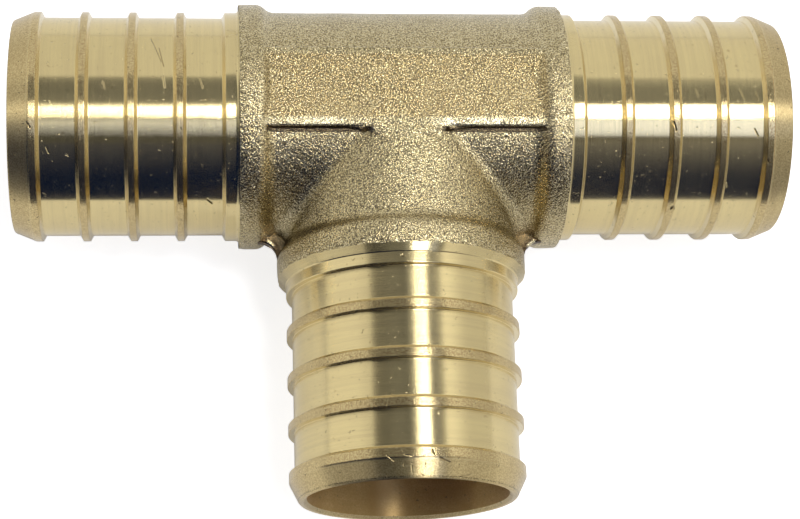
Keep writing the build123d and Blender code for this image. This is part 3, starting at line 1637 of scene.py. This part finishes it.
RUN_MARKS = (
    Mark((-22.30, 1.08), (-22.14, -0.08), 0.13),
    Mark((-18.98, 0.85), (-18.68, -0.17)),
    Mark((-23.46, 5.33), (-22.47, 2.56), 0.07, 0.5),
    Mark((-22.71, 4.16), (-22.25, 2.07), 0.09, 0.6),
    Mark((-34.60, -3.50), (-34.33, -3.92), 0.12, 1.0),
    Mark((-32.92, -5.39), (-32.71, -5.83)),
    Mark((-27.77, 0.48), (-27.63, -0.11)),
    Mark((-18.29, -9.09), (-17.88, -9.29), 0.10, 0.8),
    Mark((31.42, -0.10), (31.80, -1.04)),
    Mark((27.23, -0.12), (27.42, -0.81)),
    Mark((24.94, -3.40), (25.17, -4.10), 0.13, 1.0),
    Mark((25.36, -9.87), (25.83, -9.67), 0.14, 1.0),
    Mark((33.93, -6.46), (34.06, -6.77), 0.11, 1.0),
    Mark((32.73, -3.78), (33.07, -4.38)),
    Mark((32.93, -0.35), (33.12, -1.14)),
    Mark((30.45, -8.09), (30.55, -8.36)),
)
BRANCH_MARKS = (
    Mark((-2.76, -34.74), (-2.17, -35.22), 0.08, 0.7),
    Mark((-1.20, -34.73), (-0.60, -34.84)),
    Mark((1.88, -34.98), (2.77, -35.30), 0.13, 1.0),
    Mark((3.72, -36.48), (4.76, -36.20)),
    Mark((1.19, -34.31), (1.35, -34.67), 0.10, 0.8),
    Mark((-0.62, -35.64), (-0.55, -36.18)),
)
# Painted highlights: bright spots on the two corner flashes.
FLASH_HIGHLIGHTS = (
    Mark((-12.55, -11.72), (-12.18, -12.10), 0.28, 1.0),
    Mark((12.26, -12.20), (12.78, -11.78), 0.28, 1.0),
)


def scratched(
    wiring: Wiring,
    place: Socket,
    marks: tuple[Mark, ...],
    colour: Socket,
    fill: Colour,
    height: Socket,
    depth: float,
) -> tuple[Socket, Socket]:
    """Colour and height of a surface with single marks on it.

    Args:
        wiring: The material's wiring.
        place: Place on the fitting, in millimetres.
        marks: The marks.
        colour: Colour without them.
        fill: Colour of the marks.
        height: Height without them, in millimetres.
        depth: How deep they go, in millimetres.

    Returns:
        The colour and the height.
    """
    for mark in marks:
        ends = {"Start": (*mark.start, 0.0), "End": (*mark.end, 0.0), "Width": mark.width}
        stroke = Stroke.place(wiring, {"Place": place, **ends})["Mask"]
        height = wiring.math("SUBTRACT", height, wiring.product(stroke, depth))
        colour = wiring.mix(wiring.product(stroke, mark.dark), colour, fill)
    return colour, height


def brush_round(wiring: Wiring, shader: bpy.types.Node, axle: Axle, amount: float) -> None:
    """Smear a shader's reflections along an axis, as grooves that run round it do.

    Args:
        wiring: The material's wiring.
        shader: The material's shader.
        axle: The axis.
        amount: Strength of the smear, from zero to one.
    """
    round_arm = wiring.add("ShaderNodeTangent", direction_type="RADIAL", axis=axle.value)
    wiring.feed(shader, {"Tangent": round_arm.outputs[0]})
    wiring.feed(shader, {"Anisotropic": amount, "Anisotropic Rotation": 0.25})


@dataclass(frozen=True)
class TurnedFinish:
    """Finish that a lathe tool leaves on the outside of the spigots.

    Attributes:
        name: Name of the material.
        axle: Axis that the tool turned round.
        worn_from: Reach from which the nose is rubbed.
        marks: Single marks of handling.
        nose_steps: How much the nose reflects as if it were stepped.
        brass: Colours.
        pitch: Distance between tool marks.
        relief: Depth of the tool marks.
        worn_relief: Unevenness of rubbed places.
        mark_depth: Depth of the single marks.
        rib_from: Reach beyond which every crest is a rib.
        rim_reach: Reach of the end.
        rim_radius: Radius of the broken edge at the end.
        roughness: Roughness along the arm.
        rubbing: Roughness that rubbed places have on top of it.
        brushing: How much the tool marks smear reflections along the arm.
        side_from: Radius at which the side of a rib starts.
        crest_from: Radius at which the crest of a rib starts.
        crest_to: Radius of the crest.
        cone_steps: How much the cone at the foot reflects as if it were stepped.
        crest_rubbing: How much the crests are rubbed, beside the nose.
        cone_rubbing: How much the cone is rubbed, beside the nose.
        tone: Largest share of dull brass from ring to ring.
        side_tone: How pale the sides of the ribs are.
        stain: How dull the stains are.
        spot: How brown the small spots are.
        speckle: Share of brown on rubbed places, least and most.
        nick: How dark a nick is on clean and on rubbed brass.
        nick_depth: Depth of a nick.
        broken: How dark the rim is, least and most.
    """

    name: str
    axle: Axle
    worn_from: float
    marks: tuple[Mark, ...]
    nose_steps: float = 0.0
    brass: Brass = Brass()
    pitch: float = 0.10
    relief: float = 0.006
    worn_relief: float = 0.013
    mark_depth: float = 0.045
    rib_from: float = 17.2
    rim_reach: float = 36.6
    rim_radius: float = 10.17
    roughness: float = 0.19
    rubbing: float = 0.14
    brushing: float = 1.0
    side_from: float = 10.44
    crest_from: float = 10.80
    crest_to: float = 10.92
    cone_steps: float = 0.8
    crest_rubbing: float = 0.45
    cone_rubbing: float = 0.4
    tone: float = 0.40
    side_tone: float = 0.9
    stain: float = 0.5
    spot: float = 0.9
    speckle: Span = (0.12, 0.80)
    nick: Span = (0.25, 0.85)
    nick_depth: float = 0.012
    broken: Span = (0.10, 0.75)

    def material(self) -> bpy.types.Material:
        """Make the material.

        Returns:
            The turned brass.
        """
        material, wiring, shader, place = new_material(self.name)
        arm = ArmPlace.place(wiring, {"Place": place})
        marks = ToolMarks.place(wiring, {"Streak": arm["Streak"], "Pitch": self.pitch})
        wear = Wear.place(wiring, {"Place": place})
        zones = self.zones(wiring, arm)
        colour, height = scratched(
            wiring, place, self.marks, self.colour(wiring, place, marks, wear, zones), self.brass.pit,
            self.height(wiring, marks, wear, zones), self.mark_depth,
        )
        geometry = wiring.add("ShaderNodeNewGeometry").outputs["Normal"]
        steps = {0: self.steps(wiring, zones), 4: geometry, 5: arm["Outward"]}
        facing = wiring.add("ShaderNodeMix", steps, data_type="VECTOR").outputs[1]
        normal = wiring.bump(height, 1.0, facing)
        worn = wiring.math("MAXIMUM", zones["rubbed"], wiring.product(zones["cone"], self.cone_rubbing))
        rough = wiring.math("ADD", wiring.product(worn, self.rubbing), self.roughness)
        wiring.feed(shader, {"Base Color": colour, "Normal": normal, "Roughness": rough})
        brush_round(wiring, shader, self.axle, self.brushing)
        return material

    def zones(self, wiring: Wiring, arm: Outputs) -> dict[str, Socket]:
        """Masks of the parts of a spigot.

        Args:
            wiring: The material's wiring.
            arm: Reach and radius on the nearest arm.

        Returns:
            Masks of the crests, the sides of the ribs, the nose, the cone at the foot, the places that
            are rubbed and the rim at the end.
        """
        beyond_land = wiring.ramp(arm["Reach"], self.rib_from, self.rib_from + 0.15)
        over_barrel = wiring.ramp(arm["Radius"], self.side_from, self.side_from + 0.05)
        top = wiring.ramp(arm["Radius"], self.crest_from, self.crest_to)
        crest = wiring.product(top, beyond_land)
        nose = wiring.ramp(arm["Reach"], self.worn_from, self.worn_from + 0.3)
        below_top = wiring.math("SUBTRACT", over_barrel, top)
        at_end = wiring.ramp(arm["Reach"], self.rim_reach - 0.22, self.rim_reach - 0.1)
        outermost = wiring.ramp(arm["Radius"], self.rim_radius - 0.12, self.rim_radius - 0.03)
        return {
            "crest": crest,
            "flank": wiring.math("SUBTRACT", below_top, nose, clamp=True),
            "nose": nose,
            "cone": wiring.ramp(arm["Radius"], self.crest_to + 0.06, self.crest_to + 0.14),
            "rubbed": wiring.math("MAXIMUM", wiring.product(crest, self.crest_rubbing), nose),
            "rim": wiring.product(at_end, outermost),
        }

    def colour(
        self,
        wiring: Wiring,
        place: Socket,
        marks: Outputs,
        wear: Outputs,
        zones: dict[str, Socket],
    ) -> Socket:
        """Colour of the brass, browner where it is rubbed.

        Args:
            wiring: The material's wiring.
            place: Place on the fitting, in millimetres.
            marks: The tool marks.
            wear: Speckle and nicks.
            zones: Masks of the parts of the spigot.

        Returns:
            The colour.
        """
        stain = Stain.place(wiring, {"Place": place, "Size": 5.0, "Share": 0.5})
        tone = wiring.blend(marks["Tone"], 0.0, self.tone)
        colour = wiring.mix(tone, self.brass.fresh, self.brass.dull)
        colour = wiring.mix(wiring.product(zones["flank"], self.side_tone), colour, self.brass.side)
        colour = wiring.mix(wiring.product(stain["Mask"], self.stain), colour, self.brass.dull)
        colour = wiring.mix(wiring.product(stain["Spot"], self.spot), colour, self.brass.brown)
        speckled = wiring.ramp(wear["Speckle"], 0.32, 0.68, *self.speckle)
        tan = wiring.product(wiring.math("MAXIMUM", zones["rubbed"], zones["crest"]), speckled)
        colour = wiring.mix(tan, colour, self.brass.brown)
        dirt = wiring.blend(zones["rubbed"], *self.nick)
        colour = wiring.mix(wiring.product(wear["Nick"], dirt), colour, self.brass.pit)
        broken = wiring.ramp(wear["Speckle"], 0.40, 0.55, *self.broken)
        return wiring.mix(wiring.product(zones["rim"], broken), colour, self.brass.pit)

    def height(
        self,
        wiring: Wiring,
        marks: Outputs,
        wear: Outputs,
        zones: dict[str, Socket],
    ) -> Socket:
        """Height of the surface, in millimetres.

        Args:
            wiring: The material's wiring.
            marks: The tool marks.
            wear: Speckle and nicks.
            zones: Masks of the parts of the spigot.

        Returns:
            The height.
        """
        rings = wiring.product(marks["Height"], self.relief)
        worn = wiring.product(wear["Speckle"], zones["rubbed"], self.worn_relief)
        height = wiring.math("ADD", rings, worn)
        return wiring.math("SUBTRACT", height, wiring.product(wear["Nick"], self.nick_depth))

    def steps(self, wiring: Wiring, zones: dict[str, Socket]) -> Socket:
        """How much the tool marks face straight out from the axis.

        Args:
            wiring: The material's wiring.
            zones: Masks of the parts of the spigot.

        Returns:
            The share, from zero to one.
        """
        on_cone = wiring.product(zones["cone"], self.cone_steps)
        return wiring.math("MAXIMUM", on_cone, wiring.product(zones["nose"], self.nose_steps))


@dataclass(frozen=True)
class DrilledFinish:
    """Finish of the bores, which are browner and duller than the outside.

    Attributes:
        name: Name of the material.
        axle: Axis of the bore.
        brass: Colours.
        pitch: Distance between tool marks.
        relief: Depth of the tool marks.
        roughness: Roughness along the bore.
        brushing: How much the tool marks smear reflections along the bore.
        bare: Share of bare metal, the rest being a dull film.
        tones: Share of dull brass from ring to ring, least and most.
        speckle: Share of brown in the speckle, least and most.
        nick: How dark a nick is.
    """

    name: str
    axle: Axle
    brass: Brass
    pitch: float = 0.25
    relief: float = 0.010
    roughness: float = 0.42
    brushing: float = 0.95
    bare: float = 0.6
    tones: Span = (0.1, 0.7)
    speckle: Span = (0.25, 0.75)
    nick: float = 0.5

    def material(self) -> bpy.types.Material:
        """Make the material.

        Returns:
            The drilled brass.
        """
        material, wiring, shader, place = new_material(self.name)
        arm = ArmPlace.place(wiring, {"Place": place})
        marks = ToolMarks.place(wiring, {"Streak": arm["Streak"], "Pitch": self.pitch})
        stain = Stain.place(wiring, {"Place": place, "Size": 6.0, "Share": 0.8})
        wear = Wear.place(wiring, {"Place": place})
        tone = wiring.blend(marks["Tone"], *self.tones)
        colour = wiring.mix(tone, self.brass.fresh, self.brass.dull)
        colour = wiring.mix(stain["Mask"], colour, self.brass.brown)
        speckle = wiring.ramp(wear["Speckle"], 0.35, 0.65, *self.speckle)
        colour = wiring.mix(speckle, colour, self.brass.brown)
        colour = wiring.mix(wiring.product(wear["Nick"], self.nick), colour, self.brass.pit)
        normal = wiring.bump(marks["Height"], self.relief)
        wiring.feed(shader, {"Base Color": colour, "Normal": normal})
        wiring.feed(shader, {"Roughness": self.roughness, "Metallic": self.bare})
        brush_round(wiring, shader, self.axle, self.brushing)
        return material


@dataclass(frozen=True)
class FlashFinish:
    """Skin of the trimmed flash, darkened with painted shade that is deepest near the cut, and with
    painted highlights in one place.

    Attributes:
        corner: Distance of the cut's centre from both axes.
        cut_radius: Radius of the cut.
        name: Name of the material.
        marks: Painted highlights.
        brass: Colours.
        shade_width: Width of the darkest band of painted shade along the cut.
        dark: How dark the painted shade makes the flash, away from the cut and at it.
        grain: Size of the grain.
        relief: Depth of the grain.
        roughness: Roughness.
    """

    corner: float
    cut_radius: float
    name: str = "flash_brass"
    marks: tuple[Mark, ...] = FLASH_HIGHLIGHTS
    brass: Brass = Brass()
    shade_width: float = 0.80
    dark: Span = (0.80, 0.96)
    grain: float = 0.16
    relief: float = 0.035
    roughness: float = 0.24

    def material(self) -> bpy.types.Material:
        """Make the material.

        Returns:
            The skin of the flash.
        """
        material, wiring, shader, place = new_material(self.name)
        grain = BlastGrain.place(wiring, {"Place": place, "Grain": self.grain, "Fine": 0.5})
        brass = self.brass
        colour = wiring.mix(wiring.product(grain["Glint"], 0.5), brass.blasted_dull, brass.blasted)
        colour = wiring.mix(wiring.product(grain["Pit"], 0.5), colour, brass.pit)
        from_cut = self.from_cut(wiring, place)
        # Painted shade: the flash lies in the shaded pocket of the inner corner, so its colour is
        # darkened, most near the cut.
        painted_shade = wiring.ramp(from_cut, self.shade_width, self.shade_width - 0.35, *self.dark)
        colour = wiring.mix(painted_shade, colour, brass.scale)
        # Painted highlights: bright spots on the flash.
        colour, height = scratched(wiring, place, self.marks, colour, brass.painted_highlight, grain["Height"], 0.0)
        normal = wiring.bump(height, self.relief)
        wiring.feed(shader, {"Base Color": colour, "Normal": normal, "Roughness": self.roughness})
        return material

    def from_cut(self, wiring: Wiring, place: Socket) -> Socket:
        """Distance from the cut, unevenly.

        Args:
            wiring: The material's wiring.
            place: Place on the fitting, in millimetres.

        Returns:
            The distance, in millimetres.
        """
        axes = wiring.parts(place)
        aside = wiring.math("SUBTRACT", wiring.math("ABSOLUTE", axes[0]), self.corner)
        ahead = wiring.math("ADD", axes[1], self.corner)
        away = wiring.join("LENGTH", wiring.vector(aside, ahead))["Value"]
        uneven = wiring.product(wiring.noise(place, 1.4, 2.0, 0.5), 0.5)
        return wiring.math("SUBTRACT", wiring.math("SUBTRACT", away, uneven), self.cut_radius - 0.25)


@dataclass(frozen=True)
class ShadedCutFinish:
    """Painted shade on the trimmed edge of the flash: near black, broken by a few brown specks.

    Attributes:
        name: Name of the material.
        brass: Colours.
        rubbed_from: How rare the specks are, from zero to one.
        roughness: Roughness.
    """

    name: str = "shaded_cut_brass"
    brass: Brass = Brass()
    rubbed_from: float = 0.60
    roughness: float = 0.38

    def material(self) -> bpy.types.Material:
        """Make the material.

        Returns:
            The painted shade of the trimmed edge.
        """
        material, wiring, shader, place = new_material(self.name)
        patches = wiring.noise(place, 1.1, 2.0, 0.5)
        rubbed = wiring.ramp(patches, self.rubbed_from, self.rubbed_from + 0.05)
        # Painted shade: the trimmed edge, in the crease against the collars, is near black with a few
        # brown specks.
        colour = wiring.mix(rubbed, self.brass.scale, self.brass.brown)
        wiring.feed(shader, {"Base Color": colour, "Roughness": self.roughness})
        return material


# -------------------------------------------- studio


@dataclass(frozen=True)
class Room:
    """Light that comes from the room round the table, by direction.

    Elevations are in degrees above the horizon and bearings in degrees from the front, to the right. A
    pair of either is where a change starts and ends, and a blur is half of the width of a soft edge.
    The panel is a pale board over the front of the table, by its outline at the height of the lamp.
    """

    wall: float = 0.68
    wall_left: float = 0.82
    wall_left_low: float = 0.14
    wall_left_elevations: Span = (34.0, 46.0)
    wall_back: float = 0.70
    wall_back_right: float = 0.80
    back_bearings: Span = (110.0, 160.0)
    left_bearings: Span = (-45.0, -75.0)
    right_bearings: Span = (100.0, 165.0)
    ceiling: float = 0.11
    ceiling_left: float = 0.05
    ceiling_right: float = 0.19
    ceiling_left_bearings: Span = (-150.0, -110.0)
    ceiling_rise: float = 0.17
    ceiling_rise_elevations: Span = (58.0, 84.0)
    ceiling_rise_bearings: Span = (-160.0, -120.0)
    ceiling_tint: Span = (1.06, 1.16)
    ceiling_edge: float = 57.3
    ceiling_edge_back_right: float = 56.0
    ceiling_edge_left: float = 51.0
    ceiling_edge_right: float = 54.0
    edge_front_bearings: Span = (-20.0, 20.0)
    edge_back_bearings: Span = (120.0, 150.0)
    ceiling_blur: float = 1.0
    front: Colour = (0.002, 0.009, 0.050, 1.0)
    dark_right: Span = (16.0, 66.0)
    dark_left: Span = (-66.0, -96.0)
    front_rise: float = 0.15
    front_rise_elevations: Span = (12.0, 62.0)
    front_rise_bearings: Span = (-12.0, 25.0)
    front_rise_shares: Span = (0.0, 1.3)
    window: float = 0.46
    window_start: float = 24.0
    window_full: float = 49.0
    window_bearing: float = 111.0
    window_half: float = 22.0
    window_blur: float = 6.0
    panel_back: float = -236.0
    panel_back_right: float = -180.0
    panel_front: float = -305.0
    panel_front_right: float = -515.0
    panel_left: Colour = (0.50, 0.51, 0.48, 1.0)
    panel_right: Colour = (1.70, 1.92, 2.85, 1.0)
    panel_span: Span = (-70.0, 245.0)
    panel_ends: Span = (-330.0, 520.0)
    panel_blurs: tuple[float, float, float] = (40.0, 30.0, 15.0)
    lamp_height: float = 900.0

    def build(self) -> None:
        """Make the world and set it on the scene."""
        world = bpy.data.worlds.new("studio_room")
        world.use_nodes = True
        bpy.context.scene.world = world
        wiring = Wiring(world.node_tree)
        background = world.node_tree.nodes["Background"]
        where = wiring.add("ShaderNodeTexCoord").outputs["Generated"]
        axes = wiring.parts(where)
        degrees = 180 / math.pi
        elevation = wiring.product(wiring.math("ARCSINE", axes[2]), degrees)
        front = wiring.product(axes[1], -1.0)
        bearing = wiring.product(wiring.math("ARCTAN2", axes[0], front), degrees)
        colour = self.surround(wiring, elevation, bearing)
        colour = self.panel(wiring, axes, colour)
        light = wiring.add("ShaderNodeLightPath").outputs["Is Camera Ray"]
        shown = wiring.mix(light, colour, (1, 1, 1, 1))
        wiring.feed(background, {"Color": shown})

    def surround(self, wiring: Wiring, elevation: Socket, bearing: Socket) -> Socket:
        """Colour of the walls and the ceiling in a direction.

        Args:
            wiring: The world's wiring.
            elevation: Elevation of the direction.
            bearing: Bearing of the direction.

        Returns:
            The colour.
        """
        from_front = wiring.math("ABSOLUTE", bearing)
        is_right = wiring.ramp(bearing, *self.right_bearings)
        dark_ends = wiring.ramp(bearing, *self.dark_right), wiring.ramp(bearing, *self.dark_left)
        dark = self.dark_front(wiring, elevation, bearing)
        lit = self.lit_walls(wiring, elevation, bearing, is_right)
        walls = wiring.mix(wiring.math("MAXIMUM", *dark_ends), dark, lit)

        low = wiring.ramp(bearing, *self.ceiling_left_bearings, self.ceiling, self.ceiling_left)
        risen = wiring.ramp(elevation, *self.ceiling_rise_elevations, 0.0, self.ceiling_rise)
        risen = wiring.product(risen, wiring.ramp(bearing, *self.ceiling_rise_bearings))
        level = wiring.math("ADD", wiring.blend(is_right, low, self.ceiling_right), risen)
        green, blue = (wiring.product(level, share) for share in self.ceiling_tint)
        tint = wiring.add("ShaderNodeCombineColor", {0: level, 1: green, 2: blue}).outputs[0]

        to_right = wiring.ramp(bearing, *self.edge_front_bearings)
        front_edge = wiring.blend(to_right, self.ceiling_edge_left, self.ceiling_edge_right)
        back_edge = wiring.blend(is_right, self.ceiling_edge, self.ceiling_edge_back_right)
        edge = wiring.blend(wiring.ramp(from_front, *self.edge_back_bearings), front_edge, back_edge)
        over_edge = wiring.math("SUBTRACT", elevation, edge)
        return wiring.mix(wiring.ramp(over_edge, -self.ceiling_blur, self.ceiling_blur), walls, tint)

    def dark_front(self, wiring: Wiring, elevation: Socket, bearing: Socket) -> Socket:
        """Colour of the dark side of the room, in front of the table.

        Args:
            wiring: The world's wiring.
            elevation: Elevation of the direction.
            bearing: Bearing of the direction.

        Returns:
            The colour.
        """
        rise = wiring.ramp(elevation, *self.front_rise_elevations, 0.0, self.front_rise)
        share = wiring.ramp(bearing, *self.front_rise_bearings, *self.front_rise_shares)
        return wiring.mix(1.0, self.front, wiring.grey(wiring.product(rise, share)), "ADD")

    def lit_walls(self, wiring: Wiring, elevation: Socket, bearing: Socket, is_right: Socket) -> Socket:
        """Colour of the pale walls, with the window in the right one.

        Args:
            wiring: The world's wiring.
            elevation: Elevation of the direction.
            bearing: Bearing of the direction.
            is_right: How far to the right the direction is.

        Returns:
            The colour.
        """
        high_left, low_left = self.wall_left, self.wall_left + self.wall_left_low
        left = wiring.ramp(elevation, *self.wall_left_elevations, low_left, high_left)
        side = wiring.blend(wiring.ramp(bearing, *self.left_bearings), self.wall, left)
        back = wiring.blend(is_right, self.wall_back, self.wall_back_right)
        behind = wiring.ramp(wiring.math("ABSOLUTE", bearing), *self.back_bearings)
        level = wiring.blend(behind, side, back)
        off_window = wiring.math("ABSOLUTE", wiring.math("SUBTRACT", bearing, self.window_bearing))
        in_window = wiring.ramp(off_window, self.window_half + 2 * self.window_blur, self.window_half)
        high = wiring.ramp(elevation, self.window_start, self.window_full, 0.0, self.window)
        return wiring.grey(wiring.math("ADD", level, wiring.product(in_window, high)))

    def panel(self, wiring: Wiring, axes: Outputs, behind: Socket) -> Socket:
        """Colour of the room with the pale board in front of the ceiling.

        Args:
            wiring: The world's wiring.
            axes: The three parts of the direction.
            behind: Colour of the room without the board.

        Returns:
            The colour.
        """
        rise = wiring.math("MAXIMUM", axes[2], 0.01)
        across = wiring.product(wiring.math("DIVIDE", axes[0], rise), self.lamp_height)
        depth = wiring.product(wiring.math("DIVIDE", axes[1], rise), self.lamp_height)
        low, high = self.panel_ends
        end_blur, front_blur, back_blur = self.panel_blurs
        after_start = wiring.ramp(across, low - end_blur, low + end_blur)
        before_end = wiring.ramp(across, high + end_blur, high - end_blur)
        share = wiring.ramp(across, *self.panel_span, smooth=False)
        front = wiring.blend(share, self.panel_front, self.panel_front_right)
        past_front = wiring.ramp(wiring.math("SUBTRACT", depth, front), -front_blur, front_blur)
        back = wiring.blend(share, self.panel_back, self.panel_back_right)
        before_back = wiring.ramp(wiring.math("SUBTRACT", depth, back), back_blur, -back_blur)
        inside = wiring.product(after_start, before_end, past_front, before_back)
        board = wiring.mix(share, self.panel_left, self.panel_right)
        return wiring.mix(inside, behind, board)


@dataclass(frozen=True)
class Studio:
    """Pale floor, one soft lamp overhead and the room."""

    sizes: TeeSizes
    room: Room = Room()
    floor_half: float = 1500.0
    floor_front: float = 80.0
    floor_colour: Colour = (0.80, 0.80, 0.80, 1.0)
    floor_seen: float = 0.79
    floor_mirrored: float = 0.21
    lamp_centre: tuple[float, float, float] = (212.0, -60.0, 900.0)
    lamp_turn: float = 22.0
    lamp_width: float = 230.0
    lamp_depth: float = 198.0
    lamp_level: float = 21.0

    def build(self) -> None:
        """Build the floor, the lamp and the room."""
        self.floor()
        self.lamp()
        self.room.build()

    def floor(self) -> None:
        """Make the floor under the fitting, whose front edge is just in front of the branch."""
        half, level = self.floor_half * MM, -self.sizes.collar_radius * MM
        front = -self.floor_front * MM
        mesh = bpy.data.meshes.new("floor")
        outline = [(-half, front), (half, front), (half, half), (-half, half)]
        mesh.from_pydata([(*corner, level) for corner in outline], [], [(0, 1, 2, 3)])
        material = bpy.data.materials.new("pale_floor")
        material.use_nodes = True
        tree = material.node_tree
        wiring = Wiring(tree)
        tree.nodes.remove(tree.nodes["Principled BSDF"])
        rays = wiring.add("ShaderNodeLightPath").outputs
        seen = wiring.math("MAXIMUM", rays["Is Camera Ray"], rays["Is Transmission Ray"])
        strength = wiring.product(seen, self.floor_seen)
        mirrored = wiring.product(rays["Is Glossy Ray"], self.floor_mirrored)
        matt = wiring.add("ShaderNodeBsdfDiffuse", {"Color": self.floor_colour})
        glow = wiring.add("ShaderNodeEmission", {"Strength": wiring.math("ADD", strength, mirrored)})
        both = wiring.add("ShaderNodeAddShader", {0: matt.outputs[0], 1: glow.outputs[0]})
        wiring.feed(tree.nodes["Material Output"], {"Surface": both.outputs[0]})
        mesh.materials.append(material)
        floor = bpy.data.objects.new("floor", mesh)
        bpy.context.scene.collection.objects.link(floor)
        floor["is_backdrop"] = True

    def lamp(self) -> None:
        """Hang the soft lamp over the fitting."""
        data = bpy.data.lights.new("soft_lamp", "AREA")
        data.shape = "RECTANGLE"
        data.size, data.size_y = self.lamp_width * MM, self.lamp_depth * MM
        data.energy = self.lamp_level * math.pi * data.size * data.size_y
        lamp = bpy.data.objects.new("soft_lamp", data)
        lamp.location = Vector(self.lamp_centre) * MM
        lamp.rotation_euler = (0.0, 0.0, math.radians(self.lamp_turn))
        bpy.context.scene.collection.objects.link(lamp)


@dataclass(frozen=True)
class Viewpoint:
    """The camera, looking down on the pad from the branch's side."""

    place: tuple[float, float, float] = (-18.919, -75.998, 198.638)
    looking: tuple[float, float, float] = (0.09013, 0.29930, -0.94989)
    upward: tuple[float, float, float] = (0.0037954, 0.9536651, 0.3008463)
    focal_pixels: float = 2199.0
    picture_width: float = 800.0
    sensor: float = 36.0

    def build(self) -> None:
        """Make the camera and set it on the scene."""
        data = bpy.data.cameras.new("camera")
        data.sensor_fit = "HORIZONTAL"
        data.sensor_width = self.sensor
        data.lens = self.focal_pixels / self.picture_width * self.sensor
        data.clip_start, data.clip_end = 0.005, 10.0
        camera = bpy.data.objects.new("camera", data)
        forward = Vector(self.looking).normalized()
        side = forward.cross(Vector(self.upward)).normalized()
        up = side.cross(forward)
        turn = Matrix((side, up, -forward)).transposed().to_4x4()
        camera.matrix_world = Matrix.Translation(Vector(self.place) * MM) @ turn
        bpy.context.scene.collection.objects.link(camera)
        bpy.context.scene.camera = camera


def corners(box: object) -> list[list[float]]:
    """Two corners of a box as plain lists."""
    return [[float(value) for value in corner] for corner in box]


def main() -> None:
    """Build the fitting round the frame and the studio round the fitting."""
    logging.basicConfig(level=logging.INFO, format="%(name)s: %(message)s")
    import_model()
    cad_box = corners(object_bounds())
    sizes = TeeSizes()
    grid = Grid(sizes, ForgedForm(sizes))
    drilled = Brass(
        fresh=(0.80, 0.59, 0.27, 1.0),
        dull=(0.66, 0.46, 0.18, 1.0),
        brown=(0.55, 0.345, 0.115, 1.0),
    )
    drilled_run = DrilledFinish("drilled_brass_run", Axle.RUN, drilled).material()
    drilled_branch = DrilledFinish("drilled_brass_branch", Axle.BRANCH, drilled).material()
    turned_run = TurnedFinish(
        "turned_brass_run", Axle.RUN, sizes.run_first_crest, RUN_MARKS,
    ).material()
    turned_branch = TurnedFinish(
        "turned_brass_branch", Axle.BRANCH, sizes.branch_first_crest, BRANCH_MARKS, nose_steps=0.5,
    ).material()
    blasted = BlastedFinish().material()
    # The corner flash and its trimmed edge carry painted shade.
    bend = sizes.collar_radius + sizes.web_corner_radius
    flash = FlashFinish(bend, sizes.web_corner_radius).material()
    painted_shade = ShadedCutFinish().material()
    Forging(sizes, grid, blasted, drilled_run, drilled_branch).build()
    for arm in (Arm.RIGHT, Arm.LEFT):
        Spigot(arm, sizes, grid, turned_run, drilled_run).build()
    Spigot(Arm.BRANCH, sizes, grid, turned_branch, drilled_branch).build()
    for side in (1, -1):
        CornerWeb(side, sizes, flash, painted_shade).build()
    Studio(sizes).build()
    Viewpoint().build()
    bpy.context.scene.view_settings.view_transform = "Standard"
    {"cad": cad_box, "visual": corners(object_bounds())}


if __name__ == "__main__":
    main()
